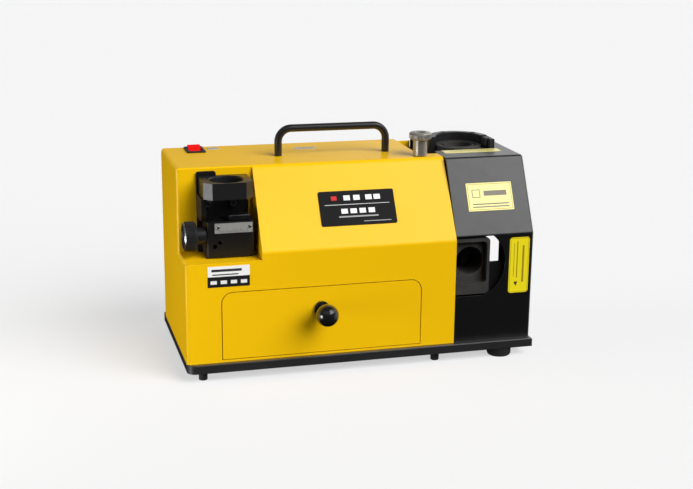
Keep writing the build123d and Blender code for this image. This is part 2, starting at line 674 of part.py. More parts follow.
def make_drive():
    at = lambda x: (x, axis_y, axis_z)
    can = tube(at(can_left), RIGHT, motor_radius, motor_radius - motor_wall, motor_length)
    parts["motor_can"] = can

    bells = {"front_bell": (motor_right - bell_thick, 1), "rear_bell": (rear_bell_left, -1)}
    for name, (left, side) in bells.items():
        bell = rod(at(left), RIGHT, motor_radius, bell_thick)
        bell -= rod(at(left - 1), RIGHT, bearing_radius - 3.5, bell_thick + 2)
        seat = left + 2 if side > 0 else left + bell_thick - 2 - bearing_width
        start = left - 1 if side > 0 else seat
        end = seat + bearing_width if side > 0 else left + bell_thick + 1
        bell -= rod(at(start), RIGHT, bearing_radius + 0.02, end - start)
        for y, z in bell_bolts():
            bell -= rod((left - 1, y, z), RIGHT, screw_radius + screw_fit, bell_thick + 2)
        if side < 0:
            for turn in range(8):
                slot = block((left - 1, left + bell_thick + 1), (-3, 3), (22, 31))
                bell -= Pos(0, axis_y, axis_z) * Rot(turn * 45 + 22.5, 0, 0) * slot
        parts[name] = bell
    bolt_length = bell_thick * 2 + motor_length + bulkhead_thick - 1
    bolts = [cap_screw((rear_bell_left, y, z), RIGHT, bolt_length) for y, z in bell_bolts()]
    parts["motor_bolts"] = group(bolts)

    core_left, core_length = can_left + 20, motor_length - 38
    stator_outer, stator_inner = motor_radius - motor_wall - 0.05, 24.5
    stator = tube(at(core_left), RIGHT, stator_outer, stator_inner, core_length)
    for turn in range(12):
        slot = block((core_left - 1, core_left + core_length + 1), (-1.5, 1.5), (stator_inner - 1, 28))
        stator -= Pos(0, axis_y, axis_z) * Rot(turn * 30, 0, 0) * slot
    for y, z in bell_bolts():
        stator -= rod((core_left - 1, y, z), RIGHT, screw_radius + 1, core_length + 2)
    parts["stator_core"] = stator
    coil = [(core_left - 12, 12), (core_left + core_length, 12)]
    rings = [tube(at(x), RIGHT, 28.3, 21.0, length) for x, length in coil]
    parts["stator_windings"] = group([fillet(ring.edges().filter_by(GeomType.CIRCLE), 2.5) for ring in rings])
    rotor = tube(at(core_left), RIGHT, stator_inner - 0.8, shaft_radius, core_length)
    parts["rotor_core"] = rotor

    races = {}
    seats = {"rear": can_left - 2 - bearing_width, "front": motor_right - bell_thick + 2}
    for key, left in seats.items():
        outer = tube(at(left), RIGHT, bearing_radius, 13.0, bearing_width)
        inner = tube(at(left), RIGHT, 12.6, shaft_radius, bearing_width)
        races[key] = (outer, inner)
    parts["motor_bearings"] = group([pair[0] for pair in races.values()])
    parts["bearing_inner_races"] = group([pair[1] for pair in races.values()])

    shaft_left = rear_bell_left - 18
    shaft_right = wheel_left + 14
    shaft = rod(at(shaft_left), RIGHT, shaft_radius, shaft_right - shaft_left)
    shaft = chamfer(shaft.edges().group_by(Axis.X)[0], 0.8)
    parts["motor_shaft"] = shaft - rod(at(shaft_right - 18), RIGHT, 3.05, 20)

    fan_left = shaft_left + 2
    fan = tube(at(fan_left), RIGHT, 13, shaft_radius, 11)
    for turn in range(8):
        blade = Rot(turn * 45, 0, 0) * (Pos(fan_left + 5.5, 0, 20.5) * Rot(0, 0, 28) * Box(13, 1.6, 17))
        fan += Pos(0, axis_y, axis_z) * blade
    parts["cooling_fan"] = fan

    hub_left, flange_left = bulkhead_right + 4, wheel_left - 6
    hub = rod(at(hub_left), RIGHT, 14, flange_left - hub_left)
    hub += rod(at(flange_left), RIGHT, 21, 8)
    hub += rod(at(flange_left), RIGHT, hub_radius, 19)
    hub -= rod(at(hub_left - 1), RIGHT, shaft_radius, 60)
    parts["wheel_hub"] = chamfer(hub.edges().group_by(Axis.X)[0], 0.6)
    body_left, body_right = wheel_left + 2, wheel_left + wheel_width - 4
    wheel = tube(at(body_left), RIGHT, rim_inner, hub_radius, body_right - body_left)
    wheel -= tube(at(body_right - 4), RIGHT, rim_inner - 8, 22, 6)
    parts["wheel_body"] = wheel
    rim = tube(at(wheel_left), RIGHT, rim_outer, rim_inner, wheel_width)
    corners = rim.edges().filter_by(GeomType.CIRCLE).filter_by(lambda e: e.radius > rim_outer - 1)
    parts["abrasive_rim"] = chamfer(corners, 0.8)
    parts["wheel_screw"] = cap_screw(at(body_right + 4), LEFT, 18, 5.0, 3.0) + rod(at(body_right), RIGHT, 19, 4)


def make_drawer():
    parts["drawer_front"] = extrude(drawer_outline(0), -drawer_face) - pull_hole(0, drawer_face)
    face_back = drawer_face
    tray = block((tray_left, tray_right), (face_back, tray_back), (tray_bottom, tray_bottom + tray_height))
    tray -= block(
        (tray_left + tray_wall, tray_right - tray_wall),
        (face_back + tray_wall, tray_back - tray_wall),
        (tray_bottom + tray_wall, tray_bottom + tray_height + 1),
    )
    ear_z = (tray_bottom + tray_height, pull_z + 9)
    ear = block((pull_x - 12, pull_x + 12), (face_back, face_back + tray_wall), ear_z)
    tray += ear
    parts["drawer_tray"] = tray - pull_hole(face_back, tray_wall)

    ball = Pos(pull_x, -pull_reach, pull_z) * Sphere(pull_radius)
    neck = rod((pull_x, -pull_reach, pull_z), BACK, 5.5, pull_reach) + rod((pull_x, -3, pull_z), BACK, 8, 3)
    parts["drawer_knob"] = ball + neck - rod((pull_x, -16, pull_z), BACK, screw_radius + screw_fit, 20)
    seat = drawer_face + tray_wall
    parts["drawer_knob_screw"] = cap_screw((pull_x, seat, pull_z), FORWARD, seat + 13)

    rails = []
    side = rail_width
    rail_back = shell_depth - shell_wall - 2
    for outer, inward in ((tray_left - 0.6, 1), (tray_right + 0.6, -1)):
        near, far = sorted((outer, outer + inward * side))
        upright = sorted((outer, outer - inward * 1.8))
        rail = block((near, far), (6, rail_back), (deck, deck + rail_thick))
        rail += block(upright, (6, rail_back), (deck, deck + 16))
        rail += block((near, far), (tray_back + 0.5, rail_back - 2), (deck, deck + 12))
        rails.append(rail)
    parts["drawer_rails"] = group(rails)


def pull_hole(start, length):
    return rod((pull_x, start - 1, pull_z), BACK, screw_radius + screw_fit, length + 2)


def make_handle():
    left, right = handle_legs
    grip = shell_top + handle_rise
    corners = [(left, shell_top), (left, grip), (right, grip), (right, shell_top)]
    path = FilletPolyline(*[(x, handle_y, z) for x, z in corners], radius=handle_bend)
    start = Plane(origin=(left, handle_y, shell_top), z_dir=UP)
    handle = sweep(start * Circle(handle_radius), path=path)
    for x in handle_legs:
        handle -= rod((x, handle_y, shell_top - 1), UP, frame_bolt_radius + screw_fit, 13)
    parts["carry_handle"] = handle
    seat = shell_top - shell_wall - 1
    screws = [cap_screw((x, handle_y, seat), UP, 13, 4.25, frame_bolt_radius) for x in handle_legs]
    washers = [tube((x, handle_y, seat), UP, 6, frame_bolt_radius, 1) for x in handle_legs]
    parts["handle_screws"] = group([screw + washer for screw, washer in zip(screws, washers)])


def make_switch():
    deep = 26.0
    lip = 1.2
    half_x, half_y = bezel_width / 2, bezel_depth / 2
    across, along = (switch_x - half_x, switch_x + half_x), (switch_y - half_y, switch_y + half_y)
    flange = block(across, along, (shell_top, shell_top + bezel_lip))
    flange = fillet(flange.edges().filter_by(Axis.Z), 2)
    flange = chamfer(flange.edges().group_by(Axis.Z)[-1], 0.6)
    body = block(
        (switch_x - half_x + lip, switch_x + half_x - lip),
        (switch_y - half_y + lip, switch_y + half_y - lip),
        (shell_top - deep, shell_top),
    )
    mouth_x, mouth_y = rocker_width / 2 + 0.4, rocker_half + 1.9
    mouth = block(
        (switch_x - mouth_x, switch_x + mouth_x),
        (switch_y - mouth_y, switch_y + mouth_y),
        (pivot_z - 10, shell_top + 5),
    )
    housing = flange + body - mouth
    housing -= rod((switch_x - half_x, switch_y, pivot_z), RIGHT, 1.5 + running_fit, bezel_width)
    for dy in (-12, 0, 12):
        y = switch_y + dy
        tab_z = (shell_top - deep - 8, shell_top - deep)
        housing += block((switch_x - 3, switch_x + 3), (y - 0.4, y + 0.4), tab_z)
    parts["switch_housing"] = housing

    side = [
        (-rocker_half, rocker_rise),
        (0, rocker_rise - 3),
        (rocker_half, rocker_rise),
        (rocker_half - 2.5, -2.5),
        (0, -5.5),
        (2.5 - rocker_half, -2.5),
    ]
    outline = fillet(make_face(Polyline(*side, close=True)).vertices(), 0.8)
    body = extrude(Plane.YZ.offset(-rocker_width / 2) * outline, rocker_width)
    body += rod((-rocker_pin_half, 0, 0), RIGHT, 1.5, 2 * rocker_pin_half)
    parts["rocker"] = Pos(switch_x, switch_y, pivot_z) * Rot(rocker_tilt, 0, 0) * body


def make_adjuster():
    x, y = adjuster_x, adjuster_y
    low = shell_top - 12
    bush = rod((x, y, low), UP, bush_radius, 12) + rod((x, y, low), UP, bush_radius + 0.4, 12 - shell_wall)
    parts["adjuster_bush"] = bush - rod((x, y, low - 1), UP, spindle_radius + running_fit, 20)

    stem_low = shell_top + slack
    head_low = shell_top + adjuster_stem_rise
    head_top = head_low + adjuster_head_thick
    stem = rod((x, y, stem_low), UP, adjuster_stem_radius, adjuster_stem_rise)
    head = rod((x, y, head_low), UP, adjuster_head_radius, adjuster_head_thick)
    head = chamfer(head.edges().filter_by(GeomType.CIRCLE), 0.8)
    spindle_low = deck + adjuster_nut_height - 26
    spindle = rod((x, y, spindle_low), UP, spindle_radius, stem_low - spindle_low)
    collar = rod((x, y, low - slack - 4), UP, 5, 4)
    dimple = rod((x, y, head_top - 1.5), UP, 5, 2)
    parts["adjuster_screw"] = stem + head + spindle + collar - dimple

    nut_z = deck + adjuster_nut_height
    near = bulkhead_right + 2 + slack
    nut = block((near, x + 7), (y - 7, y + 7), (nut_z - 7, nut_z + 7))
    parts["adjuster_nut"] = nut - rod((x, y, nut_z - 10), UP, spindle_radius + running_fit, 20)
    guide_low, guide_high = spindle_low, nut_z + 14
    guide = block((bulkhead_right, bulkhead_right + 2), (y - 9.8, y + 9.8), (guide_low, guide_high))
    for low_y, high_y in ((y - 9.8, y - 7 - slack), (y + 7 + slack, y + 9.8)):
        guide += block((bulkhead_right, x + 6), (low_y, high_y), (guide_low, guide_high))
    guide += block((bulkhead_right, x + 6), (y - 9.8, y + 9.8), (guide_low, guide_low + 6))
    parts["adjuster_guide"] = guide - rod((x, y, guide_low - 1), UP, spindle_radius + running_fit, 10)


slide_slot = (40.0, 70.0)
slide_leg = (50.0, 60.0)


def make_setting_fixture():
    right = block_left + block_width
    plate_front = fixture_back - back_plate
    foot_low = deck + niche_floor + 0.2
    low, high = deck + block_bottom, deck + block_top
    ring_low, ring_high = deck + ring_bottom, deck + ring_bottom + ring_thick
    bracket = block((ring_left - 2, right), (plate_front, fixture_back), (foot_low, ring_low))
    ear_x = (ring_left - 2, ring_left - 2 + ear_width)
    bracket += block(ear_x, (plate_front, fixture_back), (ring_low, deck + ear_height))
    bracket = fillet(bracket.edges().filter_by(Axis.Y).group_by(Axis.Z)[-1], 2.5)
    bracket += block((block_left, right), (block_front + 4, fixture_back), (foot_low, low))
    flank = [(plate_front, high), (block_front + 6, high), (block_front, high + 8)]
    flank += [(block_front, ring_low), (plate_front, ring_low)]
    bracket += extrude(Plane.YZ.offset(ring_left - 2) * make_face(Polyline(*flank, close=True)), 5)
    for x, z in fixture_screws:
        bracket -= rod((x, plate_front - 1, z), BACK, screw_radius + screw_fit, 6)
    parts["setting_bracket"] = bracket

    ring_right = ring_left + ring_width
    ring = block((ring_left, ring_right), (ring_front, fixture_back), (ring_low, ring_high))
    ring = chamfer(ring.edges().filter_by(Axis.Z).group_by(Axis.Y)[0], ring_bevel)
    ear_slot = (ring_left - 5, ear_x[1] + 0.2)
    ring -= block(ear_slot, (plate_front, fixture_back + 1), (ring_low - 1, ring_high + 1))
    ring -= rod((ring_middle, ring_centre_y, ring_low - 1), UP, ring_bore, ring_thick + 2)
    bore_edges = ring.edges().filter_by(GeomType.CIRCLE).group_by(Axis.Z)[-1]
    parts["setting_ring"] = chamfer(bore_edges, 1.2)

    body = block((block_left, right), (block_front, plate_front), (low, high))
    body = fillet(body.edges().filter_by(Axis.Z).group_by(Axis.Y)[0], 2.5)
    slot_y = (dial_y - 4, dial_y + 4)
    body -= block(slide_slot, slot_y, (spindle_z - 5, high + 1))
    body -= rod((block_left - 1, dial_y, spindle_z), RIGHT, spindle_radius + running_fit, block_width + 2)
    body -= rod((block_left + 8, block_front - 1, deck + 117), BACK, 2.4, 5)
    body -= rod((block_left + 13, block_front - 1, deck + 121), BACK, 2.0, 5)
    parts["setting_block"] = body

    dial = rod((dial_left, dial_y, spindle_z), RIGHT, dial_radius, dial_width)
    dial = chamfer(dial.edges(), 1.0)
    dial_right = dial_left + dial_width
    dial += rod((dial_right, dial_y, spindle_z), RIGHT, 8.5, block_left - slack - dial_right)
    dial -= rod((dial_left + 4, dial_y, spindle_z), RIGHT, spindle_radius, 30)
    parts["setting_dial"] = dial
    screw_length = right - 1 - dial_left - 4
    parts["setting_screw"] = rod((dial_left + 4, dial_y, spindle_z), RIGHT, spindle_radius, screw_length)

    leg_y = (slot_y[0] + slack, slot_y[1] - slack)
    leg = block(slide_leg, leg_y, (spindle_z - 5 + slack, high + slack))
    bar = block((48, 69), (block_front + 2, block_front + 14), (high + slack, high + 6))
    stop = leg + chamfer(bar.edges().filter_by(Axis.X), 0.8)
    thread = rod((slide_leg[0] - 1, dial_y, spindle_z), RIGHT, spindle_radius + running_fit, 15)
    parts["setting_slide"] = stop - thread

    plate_z, plate_x = (deck + 130.9, deck + 141.1), (32.8, 71.2)
    scale = block(plate_x, (block_front - 0.8, block_front), plate_z)
    rivets = [(plate_x[0] + 3.5, deck + 137.0), (plate_x[1] - 3.0, deck + 137.0)]
    pins = []
    for x, z in rivets:
        scale -= rod((x, block_front - 2, z), BACK, 1.0, 4)
        head = rod((x, block_front - 1.9, z), BACK, 1.7, 1.1)
        head = fillet(head.edges().group_by(Axis.Y)[0], 0.6)
        pins.append(head + rod((x, block_front - 1, z), BACK, 1.0, 1.0))
    parts["scale_plate"] = scale
    parts["plate_rivets"] = group(pins)


def slope_plane(front, crease, run, height):
    """Plane on a sloping front, with its origin on the crease, X to the right and Y up the slope."""
    up_slope = Vector(0, run, height - crease)
    normal = Vector(1, 0, 0).cross(up_slope)
    return Plane(origin=(0, front, deck + crease), x_dir=RIGHT, z_dir=normal)


def sticker(width, height, corner, thick=label_thick):
    return extrude(RectangleRounded(width, height, corner), thick)


def make_labels():
    slope = slope_plane(0, crease_height, slope_run, shell_height)
    run_length = ((shell_height - crease_height) ** 2 + slope_run**2) ** 0.5
    plate = slope * Pos(shell_length - 101.5, 0.45 * run_length) * sticker(80.5, 37.5, 2, 0.8)
    parts["name_plate"] = plate
    label_place = Plane(origin=(43.6, 0, deck + 90.6), x_dir=RIGHT, z_dir=FORWARD)
    wheel_label = label_place * sticker(42.5, 21.5, 0.6)
    top_sticker = Pos(shell_length - 132, shell_depth - 38, shell_top) * sticker(24, 9, 0.8)
    mark = Pos(switch_x + 20.6, switch_y + 5, shell_top) * sticker(12, 10, 0.8)

    guard_slope = slope_plane(guard_setback, guard_crease, guard_run, guard_height)
    warning = guard_slope * Pos(guard_left + 43.2, 41.5) * sticker(51, 30.5, 0.6)
    arrow_place = Plane(origin=(plate_length - 15.7, guard_setback, deck + 80.5), x_dir=RIGHT, z_dir=FORWARD)
    arrow = arrow_place * sticker(22.5, 61, 3)
    strip = Pos(guard_left + 40.2, top_port_y - 33.5, guard_top) * sticker(64, 15, 0.6)
    parts["stickers"] = group([wheel_label, top_sticker, mark, warning, arrow, strip])


make_base()
make_shell()
make_rear_panel()
make_electrics()
make_guard()
make_bulkhead()
make_port_bracket()
make_front_port()
make_top_port()
make_socket_screws()
make_drive()
make_drawer()
make_handle()
make_switch()
make_adjuster()
make_setting_fixture()
make_labels()

boxes = [piece.bounding_box() for piece in parts.values()]
middle_x = (min(b.min.X for b in boxes) + max(b.max.X for b in boxes)) / 2
middle_y = (min(b.min.Y for b in boxes) + max(b.max.Y for b in boxes)) / 2
print("origin in the layout:", round(middle_x, 3), round(middle_y, 3), "pieces:", len(parts))

os.makedirs("parts", exist_ok=True)
for name, piece in parts.items():
    export_step(Pos(-middle_x, -middle_y, 0) * piece, f"parts/{name}.step")
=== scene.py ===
import json
import math

import bmesh
import bpy
from bpy.props import FloatProperty, FloatVectorProperty, IntProperty, PointerProperty
from mathutils import Matrix, Vector


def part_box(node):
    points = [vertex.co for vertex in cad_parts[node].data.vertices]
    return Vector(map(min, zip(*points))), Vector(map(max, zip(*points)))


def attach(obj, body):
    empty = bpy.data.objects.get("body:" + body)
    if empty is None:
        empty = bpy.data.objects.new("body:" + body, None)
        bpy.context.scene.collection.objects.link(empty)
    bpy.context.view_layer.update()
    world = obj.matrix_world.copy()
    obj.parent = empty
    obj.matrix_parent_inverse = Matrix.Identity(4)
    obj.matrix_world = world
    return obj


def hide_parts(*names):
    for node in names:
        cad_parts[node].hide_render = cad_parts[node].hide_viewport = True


bl_info = {
    "name": "Bench Cutter Grinder",
    "version": (1, 0, 0),
    "blender": (4, 5, 0),
    "location": "3D View > Sidebar > Grinder",
    "description": "Finishes, printed marks and turned details of a small grinder for cutter tips",
    "category": "Object",
}

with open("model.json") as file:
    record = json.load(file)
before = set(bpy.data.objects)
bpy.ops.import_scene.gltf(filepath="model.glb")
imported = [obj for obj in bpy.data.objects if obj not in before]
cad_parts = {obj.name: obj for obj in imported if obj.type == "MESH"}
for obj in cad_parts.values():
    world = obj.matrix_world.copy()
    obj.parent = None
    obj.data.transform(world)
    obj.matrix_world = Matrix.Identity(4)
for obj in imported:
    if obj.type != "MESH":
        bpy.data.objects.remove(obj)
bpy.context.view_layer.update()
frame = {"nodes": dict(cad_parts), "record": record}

MM = 0.001
FULL_TURN = 2 * math.pi
TURN_TO_X = Matrix.Rotation(math.radians(90), 4, "Y")
WHITE_LIGHT = (1.0, 1.0, 1.0, 1.0)
BEVEL_SAMPLES = 4
SHARP = math.radians(25)  # edges of a turned piece that bend further than this stay sharp
RIM_SHARP = math.radians(40)  # the same for the dial's bright rim
TOOTH_STEPS = 4  # points round a knurled ring for each of its teeth
VALLEY_STEPS = (0, 3)  # those of them that lie in the valley
INK_GAP, INK_THICK = 0.01, 0.03  # from plate to printed stroke and through it, in millimetres
FLOOR_WIDTH = 40.0

# The nodes that share a finish.
YELLOW_SHEET = ("body_shell", "drawer_front")
BLACK_SHEET = ("wheel_guard", "guard_side", "guard_top", "rear_panel")
BLACK_CASTING = ("port_bracket", "port_deck", "port_step", "setting_bracket", "setting_block")
GLOSS_BLACK = ("setting_ring", "carry_handle", "top_port_collar")
BLACK_SCREWS = ("base_screws", "frame_bolts", "socket_screws", "wheel_screw", "stop_post")
ZINC = ("cover_screws", "adjuster_guide", "handle_screws", "electrics_shelf", "motor_bolts")
ZINC += ("drawer_tray", "drawer_knob_screw", "wheel_hub")
BRIGHT_STEEL = ("motor_bearings", "bearing_inner_races", "motor_shaft", "setting_screw")
BRIGHT_STEEL += ("plate_rivets",)
CAST_ALUMINIUM = ("bulkhead", "front_bell", "rear_bell", "wheel_body")
BRASS = ("adjuster_bush", "adjuster_nut")
LAMINATED = ("stator_core", "rotor_core")
BLACK_PLASTIC = ("switch_housing", "power_inlet")
GREY_PLASTIC = ("capacitor", "cooling_fan")

# The port blocks' nodes, their mounts and the axes of their bores.
PORTS = (("front_port_block", "front_port", 1), ("top_port_block", "top_port", 2))

# Inks by name.
INKS = {
    "dark": (0.03, 0.03, 0.035),
    "grey": (0.22, 0.20, 0.16),
    "pale": (0.72, 0.72, 0.70),
    "brown": (0.30, 0.22, 0.02),
    "white": (0.80, 0.80, 0.78),
    "faint": (0.34, 0.34, 0.34),
    "red": (0.55, 0.02, 0.02),
    "engraved": (0.05, 0.05, 0.05),
}
FILM_WHITE = (0.82, 0.82, 0.80)
FILM_BLACK = (0.012, 0.012, 0.013)
RUBBER_BLACK = (0.014, 0.014, 0.015)

# Printed strokes that lie level: middle across and up and length, as parts of the plate's own
# width and height, and thickness in millimetres.
LEFT_ROWS = ((-0.05, 0.30, 0.72, 2.6), (-0.08, 0.10, 0.62, 1.2))
LEFT_BLOCKS = [(across, -0.27, 0.15, 3.6) for across in (-0.36, -0.12, 0.12, 0.36)]
SLOPE_ROWS = ((0.12, 0.12, 0.50, 5.5), (0.0, -0.26, 0.80, 1.3), (0.0, -0.36, 0.80, 1.3))
STRIP_ROWS = ((0.02, 0.18, 0.80, 1.6), (0.0, -0.16, 0.70, 1.2))
SMALL_ROWS = ((0.0, 0.16, 0.70, 0.9), (0.0, -0.20, 0.60, 0.7))
PLATE_LINE = ((0.0, 0.10, 0.86, 0.45),)
PLATE_ROWS = ((0.0, -0.25, 0.52, 1.5), (0.24, -0.40, 0.36, 0.8))
PLATE_BLOCKS = [(across, 0.29, 0.085, 5.4) for across in (-0.13, 0.0, 0.16, 0.27)]
PLATE_BLOCKS += [(across, -0.09, 0.085, 5.2) for across in (-0.18, -0.06, 0.06, 0.18)]

# Printed strokes that stand: middle across and up, thickness in millimetres, and length as a part
# of the plate's own height.
RIGHT_COLUMNS = ((-0.10, 0.10, 1.2, 0.66), (0.20, 0.02, 2.2, 0.66), (-0.26, 0.10, 0.6, 0.60))


# ---------------------------------------------------------------- settings


class GrinderPaint(bpy.types.PropertyGroup):
    """Colours of the main finishes."""

    yellow: FloatVectorProperty(
        name="Housing",
        description="Powder coat of the housing",
        subtype="COLOR",
        default=(0.80, 0.465, 0.003),
    )
    enamel: FloatVectorProperty(
        name="Guard",
        description="Enamel of the wheel guard",
        subtype="COLOR",
        default=(0.004, 0.004, 0.0045),
    )
    casting: FloatVectorProperty(
        name="Castings",
        description="Paint of the cast pieces",
        subtype="COLOR",
        default=(0.004, 0.004, 0.0045),
    )
    base: FloatVectorProperty(
        name="Base",
        description="Paint of the base plate",
        subtype="COLOR",
        default=(0.016, 0.016, 0.017),
    )
    rocker: FloatVectorProperty(
        name="Rocker",
        description="Plastic of the switch rocker",
        subtype="COLOR",
        default=(0.70, 0.010, 0.008),
    )
    label: FloatVectorProperty(
        name="Labels",
        description="Film of the yellow labels",
        subtype="COLOR",
        default=(0.80, 0.66, 0.012),
    )
    pale_label: FloatVectorProperty(
        name="Pale labels",
        description="Film of the pale labels",
        subtype="COLOR",
        default=(0.80, 0.72, 0.26),
    )


class GrinderTurning(bpy.types.PropertyGroup):
    """Knurls and ribs of the small turned pieces."""

    dial_teeth: IntProperty(
        name="Dial teeth", description="Ridges round the setting dial", default=60, min=12
    )
    dial_depth: FloatProperty(
        name="Dial ridge",
        description="Depth of the dial's ridges in millimetres",
        default=0.55,
        min=0.0,
    )
    knob_teeth: IntProperty(
        name="Knob teeth", description="Ridges round the adjuster's head", default=64, min=12
    )
    knob_depth: FloatProperty(
        name="Knob ridge",
        description="Depth of the head's ridges in millimetres",
        default=0.4,
        min=0.0,
    )
    foot_ribs: IntProperty(
        name="Foot ribs", description="Ribs round each large rubber foot", default=40, min=8
    )


class GrinderStage(bpy.types.PropertyGroup):
    """Camera, floor and light."""

    position: FloatVectorProperty(
        name="Camera",
        description="Camera position",
        subtype="TRANSLATION",
        unit="LENGTH",
        default=(-0.35474, -1.28052, 0.47482),
    )
    azimuth: FloatProperty(
        name="Azimuth",
        description="Turn of the view from straight ahead",
        subtype="ANGLE",
        default=math.radians(15.43),
    )
    elevation: FloatProperty(
        name="Elevation",
        description="How far the view looks down",
        subtype="ANGLE",
        default=math.radians(15.17),
    )
    roll: FloatProperty(
        name="Roll", description="Tilt of the camera", subtype="ANGLE", default=math.radians(0.575)
    )
    lens: FloatProperty(name="Lens", description="Focal length in millimetres", default=66.49)
    floor: FloatVectorProperty(
        name="Floor", description="Colour of the floor", subtype="COLOR", default=(0.30, 0.30, 0.30)
    )
    floor_glow: FloatProperty(
        name="Floor glow", description="Light given off by the floor", default=0.565, min=0.0
    )
    ambient: FloatProperty(
        name="Ambient", description="Strength of the room's light", default=0.45, min=0.0
    )
    key: FloatProperty(
        name="Key", description="Strength of the light from the front right", default=3.7, min=0.0
    )
    fill: FloatProperty(
        name="Fill", description="Strength of the light from the left", default=2.3, min=0.0
    )


# ---------------------------------------------------------------- shader maths


class Value:
    """A number that changes over a surface and takes part in Python expressions."""

    def __init__(self, shader, socket):
        self.shader = shader
        self.socket = socket

    def __add__(self, other):
        return self.shader.maths("ADD", self, other)

    def __radd__(self, other):
        return self.shader.maths("ADD", other, self)

    def __sub__(self, other):
        return self.shader.maths("SUBTRACT", self, other)

    def __rsub__(self, other):
        return self.shader.maths("SUBTRACT", other, self)

    def __mul__(self, other):
        return self.shader.maths("MULTIPLY", self, other)

    def __rmul__(self, other):
        return self.shader.maths("MULTIPLY", other, self)

    def __pow__(self, other):
        return self.shader.maths("POWER", self, other)


class Shader:
    """A material's or the world's node tree, built from the surface outwards."""

    def __init__(self, owner):
        owner.use_nodes = True
        self.tree = owner.node_tree
        self.tree.nodes.clear()

    def node(self, kind, settings=None, values=None):
        """Adds a node: its settings are set first, then the values or links of its sockets."""
        made = self.tree.nodes.new(kind)
        for name, setting in (settings or {}).items():
            setattr(made, name, setting)
        for name, value in (values or {}).items():
            if isinstance(value, Value):
                self.tree.links.new(value.socket, made.inputs[name])
            else:
                made.inputs[name].default_value = value
        return made

    def value(self, kind, settings=None, values=None, output=0):
        return Value(self, self.node(kind, settings, values).outputs[output])

    def maths(self, operation, *terms):
        return self.value("ShaderNodeMath", {"operation": operation}, dict(enumerate(terms)))

    def point(self, output="Object"):
        """Place of the surface in the object's own frame, in metres."""
        return self.value("ShaderNodeTexCoord", output=output)

    def parts(self, point):
        """X, Y and Z of a point."""
        split = self.node("ShaderNodeSeparateXYZ", values={0: point})
        return [Value(self, socket) for socket in split.outputs]

    def noise(self, point, scale, detail=2.0, roughness=0.5):
        values = {"Vector": point, "Scale": scale, "Detail": detail, "Roughness": roughness}
        return self.value("ShaderNodeTexNoise", values=values)

    def cells(self, point, scale):
        """Distance from the middle of the nearest of many small cells."""
        return self.value("ShaderNodeTexVoronoi", values={"Vector": point, "Scale": scale})

    def waves(self, along, pitch):
        """Swings between -1 and 1 once in each pitch."""
        return self.maths("SINE", along * (FULL_TURN / pitch))

    def stretched(self, point, factors):
        return self.value("ShaderNodeVectorMath", {"operation": "MULTIPLY"}, {0: point, 1: factors})

    def step(self, value, low, high):
        """0 below low, 1 above high and smooth between them."""
        settings = {"interpolation_type": "SMOOTHSTEP", "clamp": True}
        values = {"Value": value, "From Min": low, "From Max": high}
        return self.value("ShaderNodeMapRange", settings, values)

    def band(self, value, rise, fall):
        """1 between two slopes, each given by where it starts and ends, and 0 outside them."""
        return self.step(value, *rise) * (1.0 - self.step(value, *fall))

    def mix(self, amount, first, second):
        colours = {6: self.colour(first), 7: self.colour(second)}
        return self.value("ShaderNodeMix", {"data_type": "RGBA"}, {0: amount, **colours}, output=2)

    @staticmethod
    def colour(value):
        return value if isinstance(value, Value) else (*value, 1.0)

    def soft_edges(self, radius):
        """Normal that rounds the sharp edges."""
        return self.value("ShaderNodeBevel", {"samples": BEVEL_SAMPLES}, {"Radius": radius})

    def bump(self, height, distance, normal=None):
        values = {"Height": height, "Distance": distance, "Strength": 1.0}
        if normal:
            values["Normal"] = normal
        return self.value("ShaderNodeBump", values=values)

    def finish(self, **values):
        """Principled surface; a value's name is the socket's name with underscores."""
        sockets = {
            name.replace("_", " ").title().replace("Ior", "IOR"): value
            for name, value in values.items()
        }
        sockets["Base Color"] = self.colour(sockets["Base Color"])
        surface = self.value("ShaderNodeBsdfPrincipled", values=sockets)
        self.node("ShaderNodeOutputMaterial", values={"Surface": surface})


def material(name, recipe, *values, **options):
    """Makes the material once, by its recipe, and hands it back after that."""
    name = "finish_" + name
    found = bpy.data.materials.get(name)
    if found:
        return found
    made = bpy.data.materials.new(name)
    recipe(Shader(made), *values, **options)
    return made


def shades(colour, *factors):
    """The colour, made lighter or darker by each factor."""
    return [tuple(min(1.0, part * factor) for part in colour) for factor in factors]


# ---------------------------------------------------------------- finishes


def powder_coat(shader, colour):
    """Glossy powder coat with a fine orange peel."""
    point = shader.point()
    cloud = shader.noise(point, scale=9.0, detail=3.0)
    smear = shader.noise(point, scale=60.0, detail=4.0)
    peel = shader.noise(point, scale=620.0, detail=1.0)
    dark, light = shades(colour, 0.96, 1.03)
    shader.finish(
        base_color=shader.mix(cloud, dark, light),
        roughness=0.30 + 0.10 * smear,
        specular_ior_level=0.3,
        coat_weight=0.15,
        coat_roughness=0.15,
        normal=shader.bump(peel, 0.03 * MM, shader.soft_edges(0.5 * MM)),
    )


def enamel(shader, colour, low=0.30, peel_depth=0.02 * MM):
    """Satin enamel on sheet steel."""
    point = shader.point()
    cloud = shader.noise(point, scale=30.0, detail=4.0)
    smear = shader.noise(point, scale=120.0, detail=5.0)
    peel = shader.noise(point, scale=700.0, detail=1.0)
    dark, light = shades(colour, 0.85, 1.25)
    shader.finish(
        base_color=shader.mix(cloud, dark, light),
        roughness=low + 0.12 * smear,
        specular_ior_level=0.9,
        coat_weight=0.7,
        coat_roughness=0.3,
        normal=shader.bump(peel, peel_depth, shader.soft_edges(0.6 * MM)),
    )


